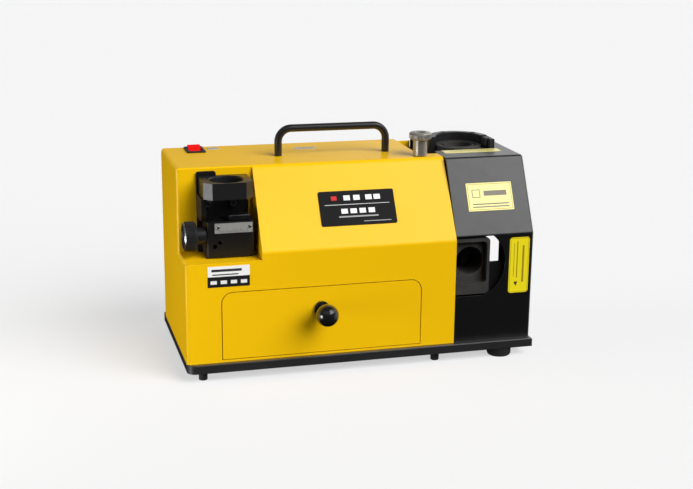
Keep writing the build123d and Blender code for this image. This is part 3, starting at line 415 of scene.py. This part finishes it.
def painted_casting(shader, colour):
    """Paint over the grain of a casting."""
    point = shader.point()
    cloud = shader.noise(point, scale=90.0, detail=4.0)
    grain = shader.noise(point, scale=420.0, detail=5.0, roughness=0.65)
    dark, light = shades(colour, 0.7, 1.5)
    shader.finish(
        base_color=shader.mix(cloud, dark, light),
        roughness=0.42 + 0.22 * grain,
        normal=shader.bump(grain, 0.09 * MM, shader.soft_edges(0.5 * MM)),
    )


def polished_black(shader, colour):
    """Deep gloss black with soft edges."""
    drawn = shader.stretched(shader.point(), (1.0, 1.0, 4.0))
    smear = shader.noise(drawn, scale=45.0, detail=5.0)
    shader.finish(
        base_color=colour,
        roughness=0.26 + 0.16 * smear,
        coat_weight=0.2,
        coat_roughness=0.2,
        normal=shader.soft_edges(0.6 * MM),
    )


def plated(shader, colour, low=0.24, grain=240.0, metallic=1.0):
    """Metal with fine drawn lines and a little cloud."""
    point = shader.point()
    cloud = shader.noise(point, scale=grain / 4, detail=3.0)
    lines = shader.noise(shader.stretched(point, (0.15, 1.0, 1.0)), scale=grain * 4, detail=3.0)
    dark, light = shades(colour, 0.82, 1.08)
    shader.finish(
        base_color=shader.mix(cloud, dark, light),
        metallic=metallic,
        roughness=low + 0.2 * lines,
        normal=shader.bump(lines, 0.01 * MM, shader.soft_edges(0.3 * MM)),
    )


def black_oxide(shader, colour):
    """Oiled black steel."""
    smear = shader.noise(shader.point(), scale=300.0, detail=3.0)
    shader.finish(
        base_color=colour,
        metallic=0.6,
        roughness=0.32 + 0.15 * smear,
        normal=shader.soft_edges(0.3 * MM),
    )


def turned_face(shader, colour, axis, centre, ring_pitch=0.9 * MM, thread_pitch=2.0 * MM):
    """Dark machined steel with the tool's rings round an axis and a coarse pitch along it."""
    point = shader.point()
    parts = shader.parts(point)
    first, second = [i for i in range(3) if i != axis]
    square = (parts[first] - centre[first]) ** 2 + (parts[second] - centre[second]) ** 2
    rings = shader.waves(square ** 0.5, ring_pitch)
    threads = shader.waves(parts[axis], thread_pitch)
    cloud = shader.noise(point, scale=160.0, detail=4.0)
    dark, light = shades(colour, 0.7, 1.3)
    shader.finish(
        base_color=shader.mix(cloud, dark, light),
        metallic=0.4,
        roughness=0.34 + 0.18 * shader.noise(point, scale=500.0, detail=3.0),
        normal=shader.bump(rings + threads * 1.5, 0.05 * MM, shader.soft_edges(0.4 * MM)),
    )


def moulded(shader, colour, low=0.30, gloss=0.0):
    """Moulded plastic."""
    shader.finish(
        base_color=colour,
        roughness=low + 0.10 * shader.noise(shader.point(), scale=350.0, detail=3.0),
        coat_weight=gloss,
        coat_roughness=0.06,
        normal=shader.soft_edges(0.3 * MM),
    )


def rubber(shader, colour):
    """Rubber with a fine pitted skin."""
    point = shader.point()
    dust = shader.noise(point, scale=500.0, detail=3.0)
    dark, light = shades(colour, 0.8, 2.2)
    shader.finish(
        base_color=shader.mix(dust, dark, light),
        roughness=0.62 + 0.2 * shader.noise(point, scale=260.0, detail=3.0),
        normal=shader.bump(shader.cells(point, 900.0), 0.18 * MM),
    )


def grit(shader, colour):
    """Abrasive grains in their bond."""
    point = shader.point()
    grains = shader.cells(point, 1300.0)
    dark, light = shades(colour, 0.45, 1.9)
    shader.finish(
        base_color=shader.mix(shader.step(grains, 0.25, 0.6), light, dark),
        roughness=0.75 + 0.1 * shader.noise(point, scale=500.0),
        normal=shader.bump(grains, 0.25 * MM),
    )


def stacked_sheets(shader, colour, sheet=1.0 * MM):
    """Edges of a stack of thin steel sheets."""
    along, _, _ = shader.parts(shader.point())
    sheets = shader.waves(along, sheet)
    dark, light = shades(colour, 0.5, 1.3)
    shader.finish(
        base_color=shader.mix(shader.step(sheets, -0.2, 0.6), dark, light),
        metallic=0.9,
        roughness=0.45,
        normal=shader.bump(sheets, 0.08 * MM),
    )


def winding(shader, colour):
    """Lacquered copper wires laid round the slots."""
    drawn = shader.stretched(shader.point(), (9.0, 1.0, 1.0))
    strands = shader.noise(drawn, scale=160.0, detail=4.0)
    dark, light = shades(colour, 0.4, 1.3)
    shader.finish(
        base_color=shader.mix(strands, dark, light),
        metallic=0.8,
        roughness=0.35,
        normal=shader.bump(strands, 0.4 * MM),
    )


def label_film(shader, pale, yellow, seam, top, guard, front):
    """Film of all the labels: each one's colour follows from where it is.

    The left label is black below its seam. Labels above top lie on the housing's top, those right
    of guard are on the wheel guard, and of these the yellow one lies below front."""
    across, _, height = shader.parts(shader.point())
    left = shader.mix(shader.step(height, seam, seam + 0.1 * MM), FILM_BLACK, FILM_WHITE)
    on_top = shader.step(height, top, top + MM)
    on_housing = shader.mix(on_top, left, shades(FILM_WHITE, 0.55)[0])
    on_guard = shader.mix(shader.step(front - height, 0.0, MM), pale, yellow)
    shader.finish(
        base_color=shader.mix(shader.step(across, guard, guard + MM), on_housing, on_guard),
        roughness=0.32,
        coat_weight=0.3,
        coat_roughness=0.15,
    )


def ink(shader, colour, roughness=0.35):
    """Flat printed ink."""
    grain = 0.1 * shader.noise(shader.point(), scale=800.0)
    shader.finish(base_color=colour, roughness=roughness + grain, specular_ior_level=0.2)


def floor_paper(shader, colour, glow):
    """Seamless studio paper, lit from behind."""
    dark, light = shades(colour, 0.995, 1.005)
    shader.finish(
        base_color=shader.mix(shader.noise(shader.point(), scale=2.0), dark, light),
        roughness=0.9,
        specular_ior_level=0.0,
        emission_color=WHITE_LIGHT,
        emission_strength=glow,
    )


def coat(nodes, finish):
    """Gives the CAD nodes a finish."""
    for name in nodes:
        mesh = frame["nodes"][name].data
        mesh.materials.clear()
        mesh.materials.append(finish)


def ink_of(shade):
    """The ink's material, by the name of its shade."""
    return material("ink_" + shade, ink, INKS[shade])


# ---------------------------------------------------------------- geometry helpers


def new_piece(name, fill, finish, body, smooth_angle=None):
    """Object whose mesh a function fills, riding on a body."""
    shape = bmesh.new()
    fill(shape)
    bmesh.ops.recalc_face_normals(shape, faces=shape.faces)
    if smooth_angle is not None:
        for face in shape.faces:
            face.smooth = True
        for edge in shape.edges:
            edge.smooth = edge.is_manifold and edge.calc_face_angle(0.0) < smooth_angle
    mesh = bpy.data.meshes.new(name)
    shape.to_mesh(mesh)
    shape.free()
    mesh.materials.append(finish)
    made = bpy.data.objects.new(name, mesh)
    bpy.context.scene.collection.objects.link(made)
    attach(made, body)
    return made


def join_rings(shape, below, above):
    """Faces between two rings of vertices, either of which may be a single point."""
    count = max(len(below), len(above))
    for i in range(count):
        j = (i + 1) % count
        if len(below) == 1:
            shape.faces.new((below[0], above[i], above[j]))
        elif len(above) == 1:
            shape.faces.new((below[i], below[j], above[0]))
        else:
            shape.faces.new((below[i], below[j], above[j], above[i]))


def add_prism(shape, place, outline, low, high):
    """Plate between two heights over an outline in the place's own plane, in millimetres."""
    rings = []
    for height in (low, high):
        points = [Vector((u * MM, v * MM, height * MM)) for u, v in outline]
        rings.append([shape.verts.new(place @ point) for point in points])
    shape.faces.new(reversed(rings[0]))
    shape.faces.new(rings[1])
    join_rings(shape, *rings)


def round_points(radius, height, segments):
    """Points round a circle about Z, from its radius and height in millimetres."""
    turns = [FULL_TURN * step / segments for step in range(segments)]
    return [Vector((radius * math.cos(t), radius * math.sin(t), height)) * MM for t in turns]


def turned(shape, place, profile, segments, toothed=(), depth=0.0):
    """Lathe shape along the place's Z, closed at both ends, in millimetres.

    The profile holds (height, radius) points, and the rings at its toothed points carry ridges."""
    rings = []
    for height, radius in profile:
        if radius == 0:
            rings.append([shape.verts.new(place @ Vector((0, 0, height * MM)))])
            continue
        points = round_points(radius, height, segments)
        if (height, radius) in toothed:
            valley = round_points(radius - depth, height, segments)
            points = [
                valley[step] if step % TOOTH_STEPS in VALLEY_STEPS else point
                for step, point in enumerate(points)
            ]
        rings.append([shape.verts.new(place @ point) for point in points])
    for below, above in zip(rings, rings[1:]):
        join_rings(shape, below, above)


def add_skin(shape, place, section, segments, thick=0.05):
    """Thin turned skin over an open section of (height, radius) points in millimetres."""
    loop = section + [(height + thick, radius) for height, radius in reversed(section)]
    rings = [
        [shape.verts.new(place @ point) for point in round_points(radius, height, segments)]
        for height, radius in loop
    ]
    for near, far in zip(rings, rings[1:] + rings[:1]):
        join_rings(shape, near, far)


def bar(u, v, width, height):
    """Outline of a rectangle with its middle at (u, v)."""
    corners = ((-1, -1), (1, -1), (1, 1), (-1, 1))
    return [(u + a * width / 2, v + b * height / 2) for a, b in corners]


def arrowhead(u, v, width, height):
    """Outline of a triangle that points down."""
    top = v + height / 2
    return [(u, v - height / 2), (u + width / 2, top), (u - width / 2, top)]


def border(width, height, inset, line, u=0.0, v=0.0):
    """Outlines of the four strokes of a rectangular frame with its middle at (u, v)."""
    half_w, half_h = width / 2 - inset, height / 2 - inset
    across, up = half_w - line / 2, half_h - line / 2
    upright = [bar(u + side * across, v, line, 2 * half_h) for side in (-1, 1)]
    level = [bar(u, v + side * up, 2 * (half_w - line), line) for side in (-1, 1)]
    return upright + level


def solids_of(node):
    """Vertices of each separate solid in a CAD node."""
    shape = bmesh.new()
    shape.from_mesh(frame["nodes"][node].data)
    bmesh.ops.remove_doubles(shape, verts=shape.verts, dist=0.001 * MM)
    waiting = set(shape.verts)
    found = []
    while waiting:
        group, fresh = [], [waiting.pop()]
        while fresh:
            vert = fresh.pop()
            group.append(vert.co.copy())
            near = {edge.other_vert(vert) for edge in vert.link_edges} & waiting
            waiting -= near
            fresh.extend(near)
        found.append(group)
    shape.free()
    return found


def box_of(points):
    """Lowest and highest corner of some points."""
    return [Vector(pick(p[i] for p in points) for i in range(3)) for pick in (min, max)]


def is_flat(points, axis):
    """Whether a thin plate lies across an axis."""
    low, high = box_of(points)
    return high[axis] - low[axis] < MM


def plate_face(points):
    """Place, width and height of a thin plate's outer face.

    The face looks forward, up or between the two."""
    low, high = box_of(points)
    right = Vector((1, 0, 0))
    if is_flat(points, 1):
        up = Vector((0, 0, 1))
    elif is_flat(points, 2):
        up = Vector((0, 1, 0))
    else:
        bottom = min((p for p in points if p.z - low.z < MM / 2), key=lambda p: p.y)
        top = min((p for p in points if high.z - p.z < MM), key=lambda p: p.y)
        up = Vector((0, top.y - bottom.y, top.z - bottom.z)).normalized()
    out = right.cross(up)
    spans = [[p.dot(axis) for p in points] for axis in (right, up, out)]
    middle = [(max(span) + min(span)) / 2 for span in spans[:2]]
    origin = right * middle[0] + up * middle[1] + out * max(spans[2])
    turn = Matrix((right, up, out)).transposed().to_4x4()
    width, height = [(max(span) - min(span)) / MM for span in spans[:2]]
    return Matrix.Translation(origin) @ turn, width, height


def sorted_labels():
    """The labels by name, found from where each one lies."""
    front, slope, top = [], [], []
    for points in solids_of("stickers"):
        group = front if is_flat(points, 1) else top if is_flat(points, 2) else slope
        group.append(points)
    left, right = sorted(front, key=lambda points: points[0].x)
    mark, note, strip = sorted(top, key=lambda points: points[0].x)
    return {
        "left": left, "right": right, "slope": slope[0], "mark": mark, "note": note, "strip": strip
    }


def level_strokes(points, table):
    """Outlines of a table's level strokes on a plate."""
    _, width, height = plate_face(points)
    return [bar(width * u, height * v, width * length, thick) for u, v, length, thick in table]


def upright_strokes(points, table):
    """Outlines of a table's upright strokes on a plate."""
    _, width, height = plate_face(points)
    return [bar(width * u, height * v, thick, height * length) for u, v, thick, length in table]


def print_marks(name, points, outlines, shade):
    """Printed strokes that stand just proud of a plate."""
    place, _, _ = plate_face(points)

    def fill(shape):
        for outline in outlines:
            add_prism(shape, place, outline, INK_GAP, INK_GAP + INK_THICK)

    new_piece(name, fill, ink_of(shade), "machine")


# ---------------------------------------------------------------- operators


class PaintHousing(bpy.types.Operator):
    """Powder coat on the housing and the drawer front"""

    bl_idname = "grinder.paint_housing"
    bl_label = "Paint housing"

    def execute(self, context):
        paint = context.scene.grinder_paint
        coat(YELLOW_SHEET, material("yellow_powder_coat", powder_coat, tuple(paint.yellow)))
        return {"FINISHED"}


class PaintGuard(bpy.types.Operator):
    """Black enamel on the guard, the castings and the base"""

    bl_idname = "grinder.paint_guard"
    bl_label = "Paint guard and castings"

    def execute(self, context):
        paint = context.scene.grinder_paint
        base = material("base_enamel", enamel, tuple(paint.base), low=0.38, peel_depth=0.05 * MM)
        coat(BLACK_SHEET, material("black_enamel", enamel, tuple(paint.enamel)))
        coat(("base_plate",), base)
        coat(BLACK_CASTING, material("black_casting", painted_casting, tuple(paint.casting)))
        coat(GLOSS_BLACK, material("gloss_black", polished_black, (0.012, 0.012, 0.013)))
        coat(("motor_can",), material("motor_paint", enamel, (0.045, 0.05, 0.055)))
        coat(("name_plate",), material("name_plate_black", ink, (0.006, 0.006, 0.007), 0.45))
        return {"FINISHED"}


class FinishMetal(bpy.types.Operator):
    """Bare, plated and oxidised metal"""

    bl_idname = "grinder.finish_metal"
    bl_label = "Finish metal pieces"

    def execute(self, context):
        aluminium = material("cast_aluminium", plated, (0.58, 0.59, 0.60), low=0.40, grain=120.0)
        scale = material(
            "plate_aluminium", plated, (0.34, 0.34, 0.33), low=0.35, grain=400.0, metallic=0.3
        )
        coat(ZINC, material("zinc_plate", plated, (0.62, 0.63, 0.65)))
        coat(BRIGHT_STEEL, material("ground_steel", plated, (0.72, 0.72, 0.73), low=0.16))
        coat(CAST_ALUMINIUM, aluminium)
        coat(("scale_plate",), scale)
        coat(BRASS, material("turned_brass", plated, (0.72, 0.52, 0.22), low=0.2))
        coat(BLACK_SCREWS, material("black_oxide", black_oxide, (0.05, 0.05, 0.055)))
        coat(("setting_slide",), material("blued_steel", plated, (0.16, 0.16, 0.17), low=0.3))
        coat(LAMINATED, material("laminations", stacked_sheets, (0.34, 0.34, 0.35)))
        coat(("stator_windings",), material("copper_winding", winding, (0.72, 0.33, 0.13)))
        coat(("abrasive_rim",), material("abrasive_grit", grit, (0.20, 0.22, 0.20)))
        return {"FINISHED"}


class FinishPorts(bpy.types.Operator):
    """Machined faces of the two ports"""

    bl_idname = "grinder.finish_ports"
    bl_label = "Finish ports"

    def execute(self, context):
        centres = {mount["name"]: mount["pos_m"] for mount in frame["record"]["mounts"]}
        for node, mount, axis in PORTS:
            finish = material(
                node + "_steel", turned_face, (0.06, 0.058, 0.054), axis, centres[mount]
            )
            coat((node,), finish)
        return {"FINISHED"}


class FinishPlastics(bpy.types.Operator):
    """Plastic, rubber and the polished ball"""

    bl_idname = "grinder.finish_plastics"
    bl_label = "Finish plastic and rubber"

    def execute(self, context):
        red = tuple(context.scene.grinder_paint.rocker)
        ball = material("ball_black", moulded, (0.008, 0.008, 0.009), low=0.06, gloss=0.8)
        coat(BLACK_PLASTIC, material("black_plastic", moulded, (0.016, 0.016, 0.018)))
        coat(GREY_PLASTIC, material("grey_plastic", moulded, (0.24, 0.25, 0.26), low=0.45))
        coat(("drawer_rails",), material("white_plastic", moulded, (0.75, 0.75, 0.72), low=0.40))
        coat(("rocker",), material("rocker_red", moulded, red, low=0.14, gloss=0.6))
        coat(("drawer_knob",), ball)
        coat(("feet",), material("foot_rubber", rubber, RUBBER_BLACK))
        return {"FINISHED"}


class TurnDial(bpy.types.Operator):
    """Setting dial with a straight knurl and a bright turned rim"""

    bl_idname = "grinder.turn_dial"
    bl_label = "Turn setting dial"

    def execute(self, context):
        turning = context.scene.grinder_turning
        low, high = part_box("setting_dial")
        place = Matrix.Translation((low.x, (low.y + high.y) / 2, (low.z + high.z) / 2)) @ TURN_TO_X
        segments = turning.dial_teeth * TOOTH_STEPS

        # The profile, in millimetres, from the outer face along the axis.
        radius, length = (high.z - low.z) / 2 / MM, (high.x - low.x) / MM
        grip, neck, bevel = 13.0, 8.5, 0.6
        dimple = [(1.6, 0), (1.6, 4.0), (1.2, 4.6), (1.2, radius - 3.4)]
        rim = [(0.2, radius - 2.6), (0.2, radius - 1.5), (1.3, radius - 0.4), (1.8, radius - 0.4)]
        knurl = [(2.2, radius), (grip - 2.2, radius)]
        shoulder = [(grip - 1.8, radius - 0.5), (grip - 1.2, radius - 0.5), (grip, radius - 1.6)]
        stem = [(grip, neck + bevel), (grip + bevel, neck), (length - bevel, neck)]
        end = [(length, neck - bevel), (length, 0)]
        profile = dimple + rim + knurl + shoulder + stem + end

        def fill(shape):
            turned(shape, place, profile, segments, knurl, turning.dial_depth)

        finish = material("dial_black", black_oxide, (0.030, 0.030, 0.032))
        dial = new_piece("dial_knurled", fill, finish, "setting_dial", SHARP)
        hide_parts("setting_dial")

        # The bright skin stands a little proud of the rim.
        skin = [(1.15, radius - 3.2), (0.15, radius - 2.6)]
        skin += [(0.15, radius - 1.5), (1.25, radius - 0.45)]
        bright = material("rim_steel", plated, (0.68, 0.68, 0.67), low=0.18)

        def fill_rim(shape):
            add_skin(shape, place, skin, segments)

        new_piece("dial_rim", fill_rim, bright, "setting_dial", RIM_SHARP)
        return {"FINISHED"}


class TurnAdjuster(bpy.types.Operator):
    """Adjuster screw with a knurled head and a threaded spindle"""

    bl_idname = "grinder.turn_adjuster"
    bl_label = "Turn adjuster screw"

    def execute(self, context):
        turning = context.scene.grinder_turning
        low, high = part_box("adjuster_screw")
        place = Matrix.Translation(((low.x + high.x) / 2, (low.y + high.y) / 2, low.z))
        segments = turning.knob_teeth * TOOTH_STEPS

        # Radii, in millimetres.
        radius = (high.x - low.x) / 2 / MM
        spindle, root, collar, neck = 3.0, 2.6, 5.0, 7.5
        groove = neck - 0.5

        # Heights above the spindle's tip, in millimetres.
        top = (high.z - low.z) / MM
        seat = top - 7.0
        foot = seat - 18.2
        collar_top = foot - 12.6
        collar_low = collar_top - 4.0
        dish = top - 1.5

        pitch, crest, valley = 1.0, 0.5, 0.95
        turns = int((collar_low - 2.0) / pitch)
        thread = [(0, 0), (0, root), (crest, spindle)]
        for turn in range(1, turns):
            thread += [(turn * pitch + crest, spindle), (turn * pitch + valley, root)]
        stop = [(collar_low, spindle), (collar_low, collar)]
        stop += [(collar_top, collar), (collar_top, spindle)]
        stem = [(foot, spindle), (foot, groove), (foot + 0.5, neck), (seat - 1.2, neck)]
        under = [(seat - 0.6, groove), (seat, groove)]
        under += [(seat, radius - 0.9), (seat + 0.7, radius - 0.2)]
        knurl = [(seat + 1.0, radius), (top - 1.6, radius)]
        crown = [(top - 1.3, radius - 0.3), (top - 0.5, radius - 0.9), (top, radius - 2.2)]
        hollow = [(top, 6.0), (top - 0.7, 5.2), (dish, 5.0), (dish, 0)]
        profile = thread + stop + stem + under + knurl + crown + hollow

        def fill(shape):
            turned(shape, place, profile, segments, knurl, turning.knob_depth)

        nickel = material("nickel", plated, (0.46, 0.44, 0.40), low=0.26, metallic=0.75)
        knob = new_piece("adjuster_turned", fill, nickel, "adjuster", SHARP)
        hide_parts("adjuster_screw")

        # A thin dark disc lies in the head's hollow: painted shade that darkens the recess, not a
        # part of the screw.
        disc_low, disc_top, disc_radius, disc_segments = dish + 0.02, dish + 0.10, 4.7, 48
        disc = [(disc_low, 0), (disc_low, disc_radius), (disc_top, disc_radius), (disc_top, 0)]
        # Black of the painted shade in the hollow.
        dark = material("dimple_black", black_oxide, (0.012, 0.012, 0.012))

        def fill_disc(shape):
            turned(shape, place, disc, disc_segments)

        new_piece("adjuster_dimple", fill_disc, dark, "adjuster", SHARP)
        return {"FINISHED"}


class RibFeet(bpy.types.Operator):
    """Moulded ribs round the large rubber feet"""

    bl_idname = "grinder.rib_feet"
    bl_label = "Rib rubber feet"

    def execute(self, context):
        count = context.scene.grinder_turning.foot_ribs
        least_width = 20 * MM
        rib_width, rib_depth, rib_low, rib_below_top = 0.9, 0.7, 2.2, 0.8
        boxes = [box_of(points) for points in solids_of("feet")]
        large = [(low, high) for low, high in boxes if high.x - low.x > least_width]

        def fill(shape):
            for low, high in large:
                outline = bar((high.x - low.x) / 2 / MM, 0, rib_depth, rib_width)
                centre = Matrix.Translation(((low.x + high.x) / 2, (low.y + high.y) / 2, 0))
                for rib in range(count):
                    place = centre @ Matrix.Rotation(FULL_TURN * rib / count, 4, "Z")
                    add_prism(shape, place, outline, rib_low, high.z / MM - rib_below_top)

        finish = material("foot_rubber", rubber, RUBBER_BLACK)
        new_piece("foot_ribs", fill, finish, "machine")
        return {"FINISHED"}


class PrintLabels(bpy.types.Operator):
    """Plain printed strokes on the labels"""

    bl_idname = "grinder.print_labels"
    bl_label = "Print labels"

    def execute(self, context):
        labels = sorted_labels()
        coat(("stickers",), self.film(context.scene.grinder_paint, labels))

        left = labels["left"]
        print_marks("left_label_rows", left, level_strokes(left, LEFT_ROWS), "dark")
        print_marks("left_label_blocks", left, level_strokes(left, LEFT_BLOCKS), "pale")

        slope = labels["slope"]
        _, width, height = plate_face(slope)
        square = border(9.0, 9.0, inset=0.0, line=0.8, u=-width * 0.30, v=height * 0.12)
        marks = square + level_strokes(slope, SLOPE_ROWS)
        print_marks("slope_label_marks", slope, marks, "grey")
        edge = border(width, height, inset=1.2, line=0.45)
        print_marks("slope_label_border", slope, edge, "brown")

        right = labels["right"]
        _, width, height = plate_face(right)
        edge = border(width, height, inset=0.9, line=0.4)
        arrow = arrowhead(-width * 0.14, -height * 0.34, width=4.6, height=5.0)
        print_marks("right_label_border", right, edge, "brown")
        print_marks("right_label_columns", right, upright_strokes(right, RIGHT_COLUMNS), "brown")
        print_marks("right_label_arrow", right, [arrow], "dark")

        strip = labels["strip"]
        print_marks("top_label_rows", strip, level_strokes(strip, STRIP_ROWS), "brown")
        for name in ("mark", "note"):
            rows = level_strokes(labels[name], SMALL_ROWS)
            print_marks(name + "_label_rows", labels[name], rows, "grey")
        return {"FINISHED"}

    @staticmethod
    def film(paint, labels):
        """The labels' material, with the places where its colour changes."""
        left_low, left_high = box_of(labels["left"])
        slope_low, _ = box_of(labels["slope"])
        _, right_high = box_of(labels["right"])
        return material(
            "label_film",
            label_film,
            tuple(paint.pale_label),
            tuple(paint.label),
            seam=(left_low.z + left_high.z) / 2,
            top=left_high.z + 20 * MM,
            guard=slope_low.x - 40 * MM,
            front=right_high.z + 3 * MM,
        )


class PrintNamePlate(bpy.types.Operator):
    """White lines and bars on the black plate, and ticks on the scale"""

    bl_idname = "grinder.print_name_plate"
    bl_label = "Print name plate and scale"

    def execute(self, context):
        plate = solids_of("name_plate")[0]
        _, width, height = plate_face(plate)
        accent = bar(-width * 0.30, height * 0.29, width=6.0, height=4.6)
        sets = {
            "name_plate_line": (level_strokes(plate, PLATE_LINE), "white"),
            "name_plate_blocks": (level_strokes(plate, PLATE_BLOCKS), "white"),
            "name_plate_rows": (level_strokes(plate, PLATE_ROWS), "faint"),
            "name_plate_accent": ([accent], "red"),
        }
        for name, (outlines, shade) in sets.items():
            print_marks(name, plate, outlines, shade)

        scale = solids_of("scale_plate")[0]
        print_marks("scale_ticks", scale, self.ticks(scale), "engraved")
        return {"FINISHED"}

    @staticmethod
    def ticks(scale):
        """Short and long ticks that stand on the scale's lower edge, in millimetres."""
        _, width, height = plate_face(scale)
        count, long_each = 17, 4
        thick, long_tick, short_tick, margin = 0.28, 3.4, 2.0, 0.6
        span, foot = width * 0.74, margin - height / 2
        outlines = []
        for tick in range(count):
            tall = short_tick if tick % long_each else long_tick
            outlines.append(bar((tick / (count - 1) - 0.5) * span, foot + tall / 2, thick, tall))
        return outlines


class SetStage(bpy.types.Operator):
    """Floor, soft light and camera"""

    bl_idname = "grinder.set_stage"
    bl_label = "Set stage"

    def execute(self, context):
        scene, stage = context.scene, context.scene.grinder_stage
        self.floor(stage)
        self.room(scene, stage)
        self.soft_sun("key_light", Vector((0.55, -0.75, 0.70)), stage.key, math.radians(50))
        self.soft_sun("fill_light", Vector((-1.0, 0.12, 0.12)), stage.fill, math.radians(30))
        self.low_panel()
        self.camera(scene, stage)
        scene.view_settings.view_transform = "Standard"
        return {"FINISHED"}

    @staticmethod
    def floor(stage):
        """Wide paper floor that the object's own gloss doesn't mirror."""
        mesh = bpy.data.meshes.new("studio_floor")
        corners = [(x, y, 0.0) for x, y in bar(0, 0, FLOOR_WIDTH, FLOOR_WIDTH)]
        mesh.from_pydata(corners, [], [(0, 1, 2, 3)])
        paper = material("studio_paper", floor_paper, tuple(stage.floor), stage.floor_glow)
        mesh.materials.append(paper)
        floor = bpy.data.objects.new("studio_floor", mesh)
        bpy.context.scene.collection.objects.link(floor)
        floor.visible_glossy = False
        floor.visible_diffuse = False

    @staticmethod
    def room(scene, stage):
        """Dark room with lit walls: behind the object, in front of it and low at both sides."""
        world = bpy.data.worlds.new("studio_room")
        scene.world = world
        shader = Shader(world)
        across, depth, height = shader.parts(shader.point(output="Generated"))
        right = shader.step(across, 0.12, 0.42)
        behind = shader.step(depth, -0.5, 0.3)
        ahead = 1.0 - shader.step(depth, -0.6, 0.1)
        beside = shader.step(across * across, 0.55, 0.80)
        wall = behind * shader.band(height, (-0.12, 0.02), (0.45, 0.80))
        window = ahead * shader.band(height, (0.35, 0.60), (0.85, 0.97))
        sides = beside * shader.band(height, (-0.60, -0.30), (0.05, 0.25))
        dark = 0.012
        glow = dark + wall * (0.35 + 1.5 * right) + window * (0.5 + 7.0 * right) + sides * 0.9
        values = {"Color": WHITE_LIGHT, "Strength": glow * stage.ambient}
        background = shader.value("ShaderNodeBackground", values=values)
        shader.node("ShaderNodeOutputWorld", values={"Surface": background})

    @staticmethod
    def add_lamp(light, place, target):
        """Puts a light in the scene, turned from its place towards the target."""
        lamp = bpy.data.objects.new(light.name, light)
        lamp.location = place
        lamp.rotation_euler = (target - place).to_track_quat("-Z", "Y").to_euler()
        bpy.context.scene.collection.objects.link(lamp)
        return lamp

    def soft_sun(self, name, direction, strength, spread):
        """Light that comes from one direction with the same strength everywhere."""
        light = bpy.data.lights.new(name, "SUN")
        light.energy = strength
        light.angle = spread
        lamp = self.add_lamp(light, 2 * direction, Vector((0.0, 0.0, 0.0)))
        lamp.visible_glossy = False

    def low_panel(self):
        """Small lit panel that stands on the floor, to the left of the housing."""
        light = bpy.data.lights.new("low_light", "AREA")
        light.shape = "SQUARE"
        light.size = 0.25
        light.energy = 0.42
        light.spread = math.radians(80)
        lamp = self.add_lamp(light, Vector((-0.66, -0.22, 0.03)), Vector((-0.19, 0.0, 0.0)))
        lamp.visible_camera = False

    @staticmethod
    def camera(scene, stage):
        """Camera at the stage's position, turned by its azimuth, elevation and roll."""
        data = bpy.data.cameras.new("studio_camera")
        data.sensor_width = 36.0
        data.lens = stage.lens
        data.clip_start, data.clip_end = 0.05, 60.0
        turn, dip = stage.azimuth, stage.elevation
        level = Vector((math.cos(turn), -math.sin(turn), 0.0))
        flat_ahead = Vector((math.sin(turn), math.cos(turn), 0.0))
        ahead = flat_ahead * math.cos(dip) - Vector((0.0, 0.0, math.sin(dip)))
        right = level * math.cos(stage.roll) + level.cross(ahead) * math.sin(stage.roll)
        axes = Matrix((right, right.cross(ahead), -ahead)).transposed().to_4x4()
        camera = bpy.data.objects.new("studio_camera", data)
        camera.matrix_world = Matrix.Translation(stage.position) @ axes
        scene.collection.objects.link(camera)
        scene.camera = camera


OPERATORS = (
    PaintHousing,
    PaintGuard,
    FinishMetal,
    FinishPorts,
    FinishPlastics,
    TurnDial,
    TurnAdjuster,
    RibFeet,
    PrintLabels,
    PrintNamePlate,
    SetStage,
)


class GrinderPanel(bpy.types.Panel):
    """The grinder's steps, in the order in which they run"""

    bl_idname = "VIEW3D_PT_grinder"
    bl_label = "Bench cutter grinder"
    bl_space_type = "VIEW_3D"
    bl_region_type = "UI"
    bl_category = "Grinder"

    def draw(self, context):
        for operator in OPERATORS:
            self.layout.operator(operator.bl_idname)


SETTINGS = {
    "grinder_paint": GrinderPaint,
    "grinder_turning": GrinderTurning,
    "grinder_stage": GrinderStage,
}
CLASSES = (*SETTINGS.values(), *OPERATORS, GrinderPanel)


def register():
    for kind in CLASSES:
        bpy.utils.register_class(kind)
    for name, kind in SETTINGS.items():
        setattr(bpy.types.Scene, name, PointerProperty(type=kind))


def unregister():
    for name in SETTINGS:
        delattr(bpy.types.Scene, name)
    for kind in reversed(CLASSES):
        bpy.utils.unregister_class(kind)


def main():
    register()
    for operator in OPERATORS:
        group, name = operator.bl_idname.split(".")
        getattr(getattr(bpy.ops, group), name)()


if __name__ == "__main__":
    main()
